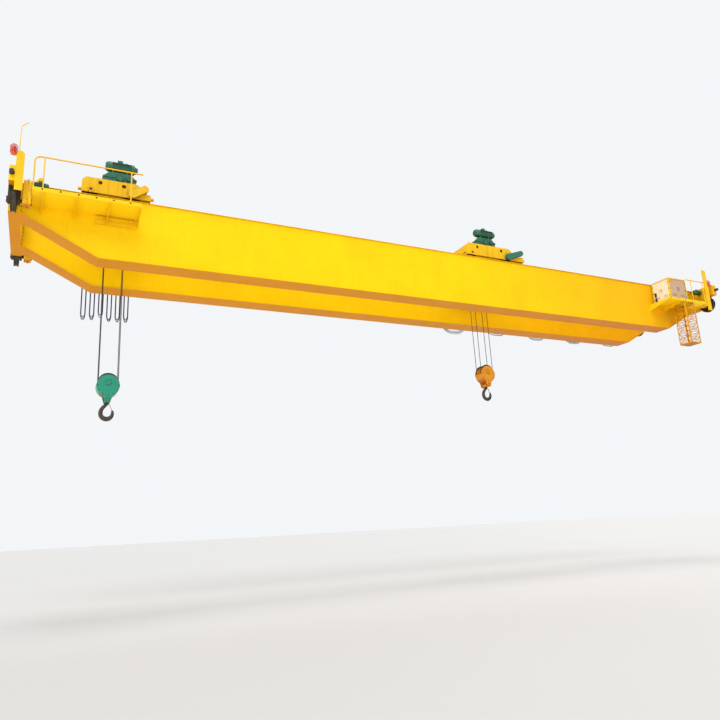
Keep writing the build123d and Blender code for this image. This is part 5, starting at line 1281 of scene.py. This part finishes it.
class CraneCageBars(bpy.types.Operator):
    """Fills the lattice of the inspection cage with slender crossed bars"""

    bl_idname = "crane.cage_bars"
    bl_label = "Cage bars"

    def execute(self, context):
        low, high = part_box("inspection_cage")
        inset, floor, levels, radius = 0.011, 0.04, 8, 0.0065
        step = (high.z - low.z - floor) / levels
        left, right, near, far = low.x + inset, high.x - inset, low.y + inset, high.y - inset
        corners = [(left, near), (right, near), (right, far), (left, far)]
        bars = []
        for level in range(levels):
            bottom = low.z + floor + level * step
            top = bottom + step - radius
            for first, last in zip(corners, corners[1:] + corners[:1]):
                bars.append(rod("bar", (*first, bottom), (*last, top), radius, 6))
                bars.append(rod("bar", (*last, bottom), (*first, top), radius, 6))
                bars.append(rod("bar", (*first, top), (*last, top), radius, 6))
        fit(joined("inspection_cage_bars", bars), "cage", "bridge")
        return {"FINISHED"}


class CraneLampGuards(bpy.types.Operator):
    """Wire guards of the two warning lamps"""

    bl_idname = "crane.lamp_guards"
    bl_label = "Lamp guards"

    def execute(self, context):
        parts = []
        wire, reach, low, shoulder, high = 0.0045, 0.092, 0.04, 0.25, 0.31
        outline = ((0.07, low), (reach, low), (reach, shoulder), (0.03, high), (0.0, high))
        for x, y, z in LAMP_FEET:
            foot = Vector((x, y, z))
            for turn in range(12):
                angle = math.tau * turn / 12
                out = Vector((math.cos(angle), math.sin(angle), 0))
                route = [foot + out * far + UP * up for far, up in outline]
                parts.append(tube("wire", rounded(route, 0.03, 3), wire, 1))
            for up in (low + 0.02, 0.11, 0.16, 0.21, shoulder):
                parts.append(hoop("hoop", (x, y, z + up), UP, reach, wire))
        fit(joined("warning_lamp_guards", parts), "lamp", "bridge")
        return {"FINISHED"}


class CraneDriveFittings(bpy.types.Operator):
    """Bolts, breathers, fan guards, box lids and leads of the long travel drives"""

    bl_idname = "crane.drive_fittings"
    bl_label = "Travel drive fittings"

    def execute(self, context):
        heads, parts, leads = [], [], []
        for end in ENDS:
            middle, inner = end * DRIVE_X, end * DRIVE_FACE
            inward = Vector((-end, 0, 0))
            for side in SIDES:
                y, z = side * WHEEL_Y, WHEEL_Z + MOTOR_LIFT
                rim = middle - end * 0.013
                heads += ring_of((rim, y, WHEEL_Z), inward, 0.179, 8, (0, 1, 0), end * math.pi)
                heads += ring_of((rim, y, z), inward, 0.134, 7, (0, -1, 0), end * math.pi)
                heads += ring_of((inner - end * 0.016, y, WHEEL_Z), inward, 0.088, 6)
                parts += grille((inner - end * 0.42, y, z), inward, 0.086)
                parts.append(rod("breather", (middle, y, z + 0.12), (middle, y, z + 0.165), 0.012, 10, 0.003))
                x, gland_z = inner - end * 0.21, z + 0.115
                parts.append(block("lid", (x, y, z + 0.147), (0.052, 0.052, 0.004), 0.003))
                start, mouth = (x, y - side * 0.046, gland_z), (x, y - side * 0.085, gland_z)
                parts.append(rod("gland", start, mouth, 0.016, 8, 0.003))
                web = side * (GIRDER_Y + WEB_HALF + 0.02)
                route = [
                    (x, y - side * 0.08, gland_z),
                    (x, y - side * 0.2, gland_z),
                    (x, web + side * 0.03, z + 0.02),
                    (x, web, 0.75),
                    (x - end * 0.6, web, 0.7),
                ]
                leads.append(tube("lead", rounded(route, 0.08), LEAD_RADIUS))
        fit(bolts("travel_drive_bolts", heads, 0.026), "iron", "bridge")
        fit(joined("travel_drive_guards", parts), "drive", "bridge")
        fit(joined("travel_drive_leads", leads), "cable", "bridge")
        return {"FINISHED"}


class CraneTrolleyFittings(bpy.types.Operator):
    """Bearing bolts, ribs, lifting lugs and walk plate of the trolley frames"""

    bl_idname = "crane.trolley_fittings"
    bl_label = "Trolley fittings"

    def execute(self, context):
        for number, run in TROLLEYS.items():
            body = f"trolley_{number}"
            heads, ribs = [], []
            left_axle, right_axle = run["left"] + 0.25, run["right"] - 0.25
            for side in SIDES:
                for axle_x in (left_axle, right_axle):
                    for flank in FLANKS:
                        if (side, flank, axle_x) == (NEAR, -1, right_axle):
                            continue  # the cross drive stands here
                        face = side * GIRDER_Y + flank * 0.125
                        heads += ring_of((axle_x, face, AXLE_Z), (0, flank, 0), 0.082, 6)
                outer = side * (GIRDER_Y + 0.105)
                x = left_axle + 0.2
                while x < right_axle - 0.15:
                    low = (x - 0.006, outer, FRAME_BOTTOM + 0.012)
                    high = (x + 0.006, outer + side * 0.018, FRAME_TOP - 0.01)
                    ribs.append(plate("rib", low, high, 0.002))
                    x += 0.28
                for x in (run["left"] + 0.2, run["right"] - 0.2):
                    ribs.append(hoop("lug", (x, side * GIRDER_Y, FRAME_TOP + 0.03), (1, 0, 0), 0.035, 0.011, 16))
            fit(joined(f"trolley_{number}_ribs_and_lugs", ribs), "trolley", body)
            fit(bolts(f"trolley_{number}_bearing_bolts", heads, 0.03), "trolley", body)
            low, high = (run["left"] + 0.2, -0.16, FRAME_TOP), (run["middle"] - 0.36, 0.99, FRAME_TOP + 0.006)
            fit(plate(f"trolley_{number}_walk_plate", low, high, 0.001), "deck", body)
        return {"FINISHED"}


class CraneWinchFittings(bpy.types.Operator):
    """Bolts, brake, fan guard, rope clamps and leads of the winches"""

    bl_idname = "crane.winch_fittings"
    bl_label = "Winch fittings"

    def execute(self, context):
        for number, run in TROLLEYS.items():
            body = f"trolley_{number}"
            middle = run["middle"]
            outer, split = CASE_Y - 0.09, DRUM_Z - 0.018
            heads = [placed((middle - 0.46 + step * 0.115, outer - 0.012, split + 0.018)) for step in range(9)]
            heads += [placed((middle + x, outer - 0.005, FRAME_TOP + 0.03)) for x in (-0.44, -0.2, 0.2, 0.44)]
            heads += ring_of((middle, outer - 0.042, split), (0, -1, 0), 0.098, 8)
            heads += ring_of((middle + 0.26, outer - 0.042, split), (0, -1, 0), 0.058, 6)
            for y, z, reach, half in ((CASE_Y, CASE_TOP + 0.012, 0.11, 0.06), (STAND_Y, FRAME_TOP, 0.17, 0.045)):
                heads += [placed((middle + x, y + along, z)) for x in (-reach, reach) for along in (-half, half)]
            heads += ring_of((middle, STAND_Y + 0.03, DRUM_Z), (0, 1, 0), 0.088, 6)

            start, end = (middle, CASE_Y, CASE_TOP + 0.01), (middle, CASE_Y, CASE_TOP + 0.06)
            parts = [rod("breather", start, end, 0.016, 10, 0.004)]
            parts += grille((middle - MOTOR_HALF, CASE_Y, MOTOR_Z), (-1, 0, 0), 0.128)
            parts.append(turned("brake", BRAKE, (middle + MOTOR_HALF, CASE_Y, MOTOR_Z), (1, 0, 0), 24))
            parts.append(hoop("eye", (middle + 0.2, CASE_Y, MOTOR_Z + 0.175), (0, 1, 0), 0.03, 0.009, 16))
            parts.append(block("lid", (middle, CASE_Y, MOTOR_BOX_TOP + 0.005), (0.078, 0.078, 0.005), 0.004))
            fit(joined(f"trolley_{number}_winch_guards", parts), "drive", body)

            box_z = MOTOR_BOX_TOP - 0.035
            route = [
                (middle + 0.07, CASE_Y, box_z),
                (middle + 0.16, CASE_Y, box_z),
                (middle + 0.3, CASE_Y + 0.14, CASE_TOP),
                (middle + 0.45, CASE_Y + 0.3, FRAME_TOP + 0.02),
                (middle + 0.45, 0.9, FRAME_TOP + 0.02),
            ]
            lead = tube(f"trolley_{number}_winch_leads", rounded(route, 0.1), 0.014)
            fit(lead, "cable", body)

            clamps = []
            for side in SIDES:
                for turn in range(3):
                    angle = math.radians(60 + turn * 22)
                    out = Vector((math.cos(angle), 0, math.sin(angle)))
                    clamps.append(placed(Vector((middle, side * 0.555, DRUM_Z)) + out * 0.285, out))
            clamp = plate("clamp", (-0.03, -0.035, -0.01), (0.03, 0.035, 0.012), 0.004)
            fit(copies(clamp, f"trolley_{number}_rope_clamps", clamps), "iron", body)
            fit(bolts(f"trolley_{number}_winch_bolts", heads, 0.026), "iron", body)
        return {"FINISHED"}


class CraneHookFittings(bpy.types.Operator):
    """Cover bolts of the hook blocks and the latches of the hooks"""

    bl_idname = "crane.hook_fittings"
    bl_label = "Hook fittings"

    def execute(self, context):
        for number, run in TROLLEYS.items():
            middle, axle = run["middle"], run["axle"]
            heads = []
            for side in SIDES:
                way = (0, side, 0)
                heads += ring_of((middle, side * 0.225, axle), way, 0.074, 6)
                heads += ring_of((middle, side * 0.225, axle - 0.525), way, 0.052, 4)
                heads += ring_of((middle, side * 0.211, axle - 0.08), way, 0.298, 7, (side, 0, 0), math.pi)
            fit(bolts(f"hook_block_{number}_bolts", heads, 0.026), "iron", f"hook_block_{number}")

            pin = Vector((middle + 0.055, 0, axle - 0.633))
            tip = Vector((middle + 0.142, 0, axle - 0.797))
            parts = [self.cross_bar("pin", pin, 0.034, 0.008, 10)]
            line = []
            for step in range(5):
                line.append(pin.lerp(tip, step / 4) + LATCH_BOW * math.sin(math.pi * step / 4))
            for first, last in zip(line, line[1:]):
                for flank in FLANKS:
                    shift = Vector((0, flank * 0.014, 0))
                    parts.append(rod("strip", first + shift, last + shift, 0.006, 8))
            parts.append(self.cross_bar("nose", tip, 0.02, 0.007, 8))
            fit(joined(f"hook_{number}_latch", parts), "steel", f"hook_{number}")
        return {"FINISHED"}

    def cross_bar(self, name, centre, half, radius, sides):
        """Short bar along Y about a centre."""
        reach = Vector((0, half, 0))
        return rod(name, centre - reach, centre + reach, radius, sides, 0.002)


def light(name, kind, way, energy):
    """A lamp that shines along way."""
    lamp = bpy.data.lights.new(name, kind)
    lamp.energy = energy
    obj = linked(name, lamp)
    obj.rotation_euler = Vector(way).to_track_quat("-Z", "Y").to_euler()
    return obj


class CraneStage(bpy.types.Operator):
    """Sets the floor, the lamps, the sky and the camera"""

    bl_idname = "crane.stage"
    bl_label = "Stage"

    def execute(self, context):
        self.floor()
        self.lamps()
        self.sky(context.scene)
        self.camera(context.scene)
        context.scene.view_settings.view_transform = "Standard"
        return {"FINISHED"}

    def floor(self):
        """Pale floor that keeps the shadow and throws up a warmer light than it shows."""
        deselect()
        bpy.ops.mesh.primitive_plane_add(size=900, location=(0, 0, FLOOR_Z))
        floor = bpy.context.object
        floor.name = "studio_floor"
        made = Nodes("studio_floor")
        tone = made.between(made.noise(0.05, 3.0), 0.3, 0.7)
        shade = made.mixed(tone, opaque(colours().floor, 0.97), opaque(colours().floor, 1.0))
        seen = made.add("ShaderNodeLightPath").outputs["Is Camera Ray"]
        shade = made.mixed(seen, opaque(colours().floor_bounce), shade)
        floor.data.materials.append(made.finish(shade, 0.8))

    def lamps(self):
        """Wide suns, and a glow from the floor that lights the undersides."""
        for name, way, strength, spread in SUNS:
            light(name, "SUN", way, strength).data.angle = math.radians(spread)
        glow = light("floor_glow", "AREA", (0.1, 0.25, 1.0), 3400.0)
        glow.data.shape = "RECTANGLE"
        glow.data.size, glow.data.size_y = 60.0, 30.0
        glow.data.color = (1.0, 0.93, 0.78)
        glow.location = (0, -10, FLOOR_Z + 0.4)
        glow.visible_camera = False

    def sky(self, scene):
        """Pale sky that lights less than it shows."""
        world = bpy.data.worlds.new("studio_sky")
        scene.world = world
        world.use_nodes = True
        nodes, link = world.node_tree.nodes, world.node_tree.links.new
        nodes.clear()
        seen = nodes.new("ShaderNodeBackground")
        seen.inputs["Color"].default_value = (0.9, 0.92, 0.94, 1.0)
        lit = nodes.new("ShaderNodeBackground")
        lit.inputs["Color"].default_value = (1.0, 1.0, 1.0, 1.0)
        lit.inputs["Strength"].default_value = 0.55
        path = nodes.new("ShaderNodeLightPath")
        either = nodes.new("ShaderNodeMath")
        either.operation = "MAXIMUM"
        mix = nodes.new("ShaderNodeMixShader")
        out = nodes.new("ShaderNodeOutputWorld")
        link(path.outputs["Is Camera Ray"], either.inputs[0])
        link(path.outputs["Is Glossy Ray"], either.inputs[1])
        link(either.outputs["Value"], mix.inputs["Fac"])
        link(lit.outputs["Background"], mix.inputs[1])
        link(seen.outputs["Background"], mix.inputs[2])
        link(mix.outputs["Shader"], out.inputs["Surface"])

    def camera(self, scene):
        """Camera in the place of the photo's, from its yaw, pitch and roll."""
        yaw, pitch, roll = (math.radians(angle) for angle in CAMERA_TURN)
        ahead = Vector((math.sin(yaw) * math.cos(pitch), math.cos(yaw) * math.cos(pitch), math.sin(pitch)))
        level = Vector((math.cos(yaw), -math.sin(yaw), 0.0))
        above = level.cross(ahead)
        right = level * math.cos(roll) + above * math.sin(roll)
        top = above * math.cos(roll) - level * math.sin(roll)
        lens = bpy.data.cameras.new("photo_camera")
        lens.sensor_width = 36.0
        lens.lens = CAMERA_LENS
        lens.clip_end = 2000.0
        camera = linked("photo_camera", lens)
        turn = Matrix((right, top, -ahead)).transposed().to_4x4()
        camera.matrix_world = Matrix.Translation(CAMERA_PLACE) @ turn
        scene.camera = camera


STEPS = (
    CraneFinishes,
    CraneWelds,
    CraneRailClips,
    CraneCarriageFittings,
    CraneRopes,
    CraneFestoon,
    CraneCableCarriers,
    CraneWalkwayFittings,
    CraneCabinetFittings,
    CraneCageBars,
    CraneLampGuards,
    CraneDriveFittings,
    CraneTrolleyFittings,
    CraneWinchFittings,
    CraneHookFittings,
    CraneStage,
)


class CRANE_PT_steps(bpy.types.Panel):
    """Lists the sizes, the colours and the steps of the crane"""

    bl_label = "Overhead crane"
    bl_space_type = "VIEW_3D"
    bl_region_type = "UI"
    bl_category = "Crane"

    def draw(self, context):
        column = self.layout.column()
        for group in (context.scene.crane_sizes, context.scene.crane_colours):
            for key in group.__annotations__:
                column.prop(group, key)
        for step in STEPS:
            column.operator(step.bl_idname)


CLASSES = (CraneSizes, CraneColours, *STEPS, CRANE_PT_steps)


def register():
    """Adds the crane's classes and settings."""
    for each in CLASSES:
        bpy.utils.register_class(each)
    bpy.types.Scene.crane_sizes = bpy.props.PointerProperty(type=CraneSizes)
    bpy.types.Scene.crane_colours = bpy.props.PointerProperty(type=CraneColours)


def unregister():
    """Takes them away again."""
    del bpy.types.Scene.crane_colours
    del bpy.types.Scene.crane_sizes
    for each in reversed(CLASSES):
        bpy.utils.unregister_class(each)


def main():
    """Dresses the crane."""
    register()
    for step in STEPS:
        group, action = step.bl_idname.split(".")
        getattr(getattr(bpy.ops, group), action)()


if __name__ == "__main__":
    main()
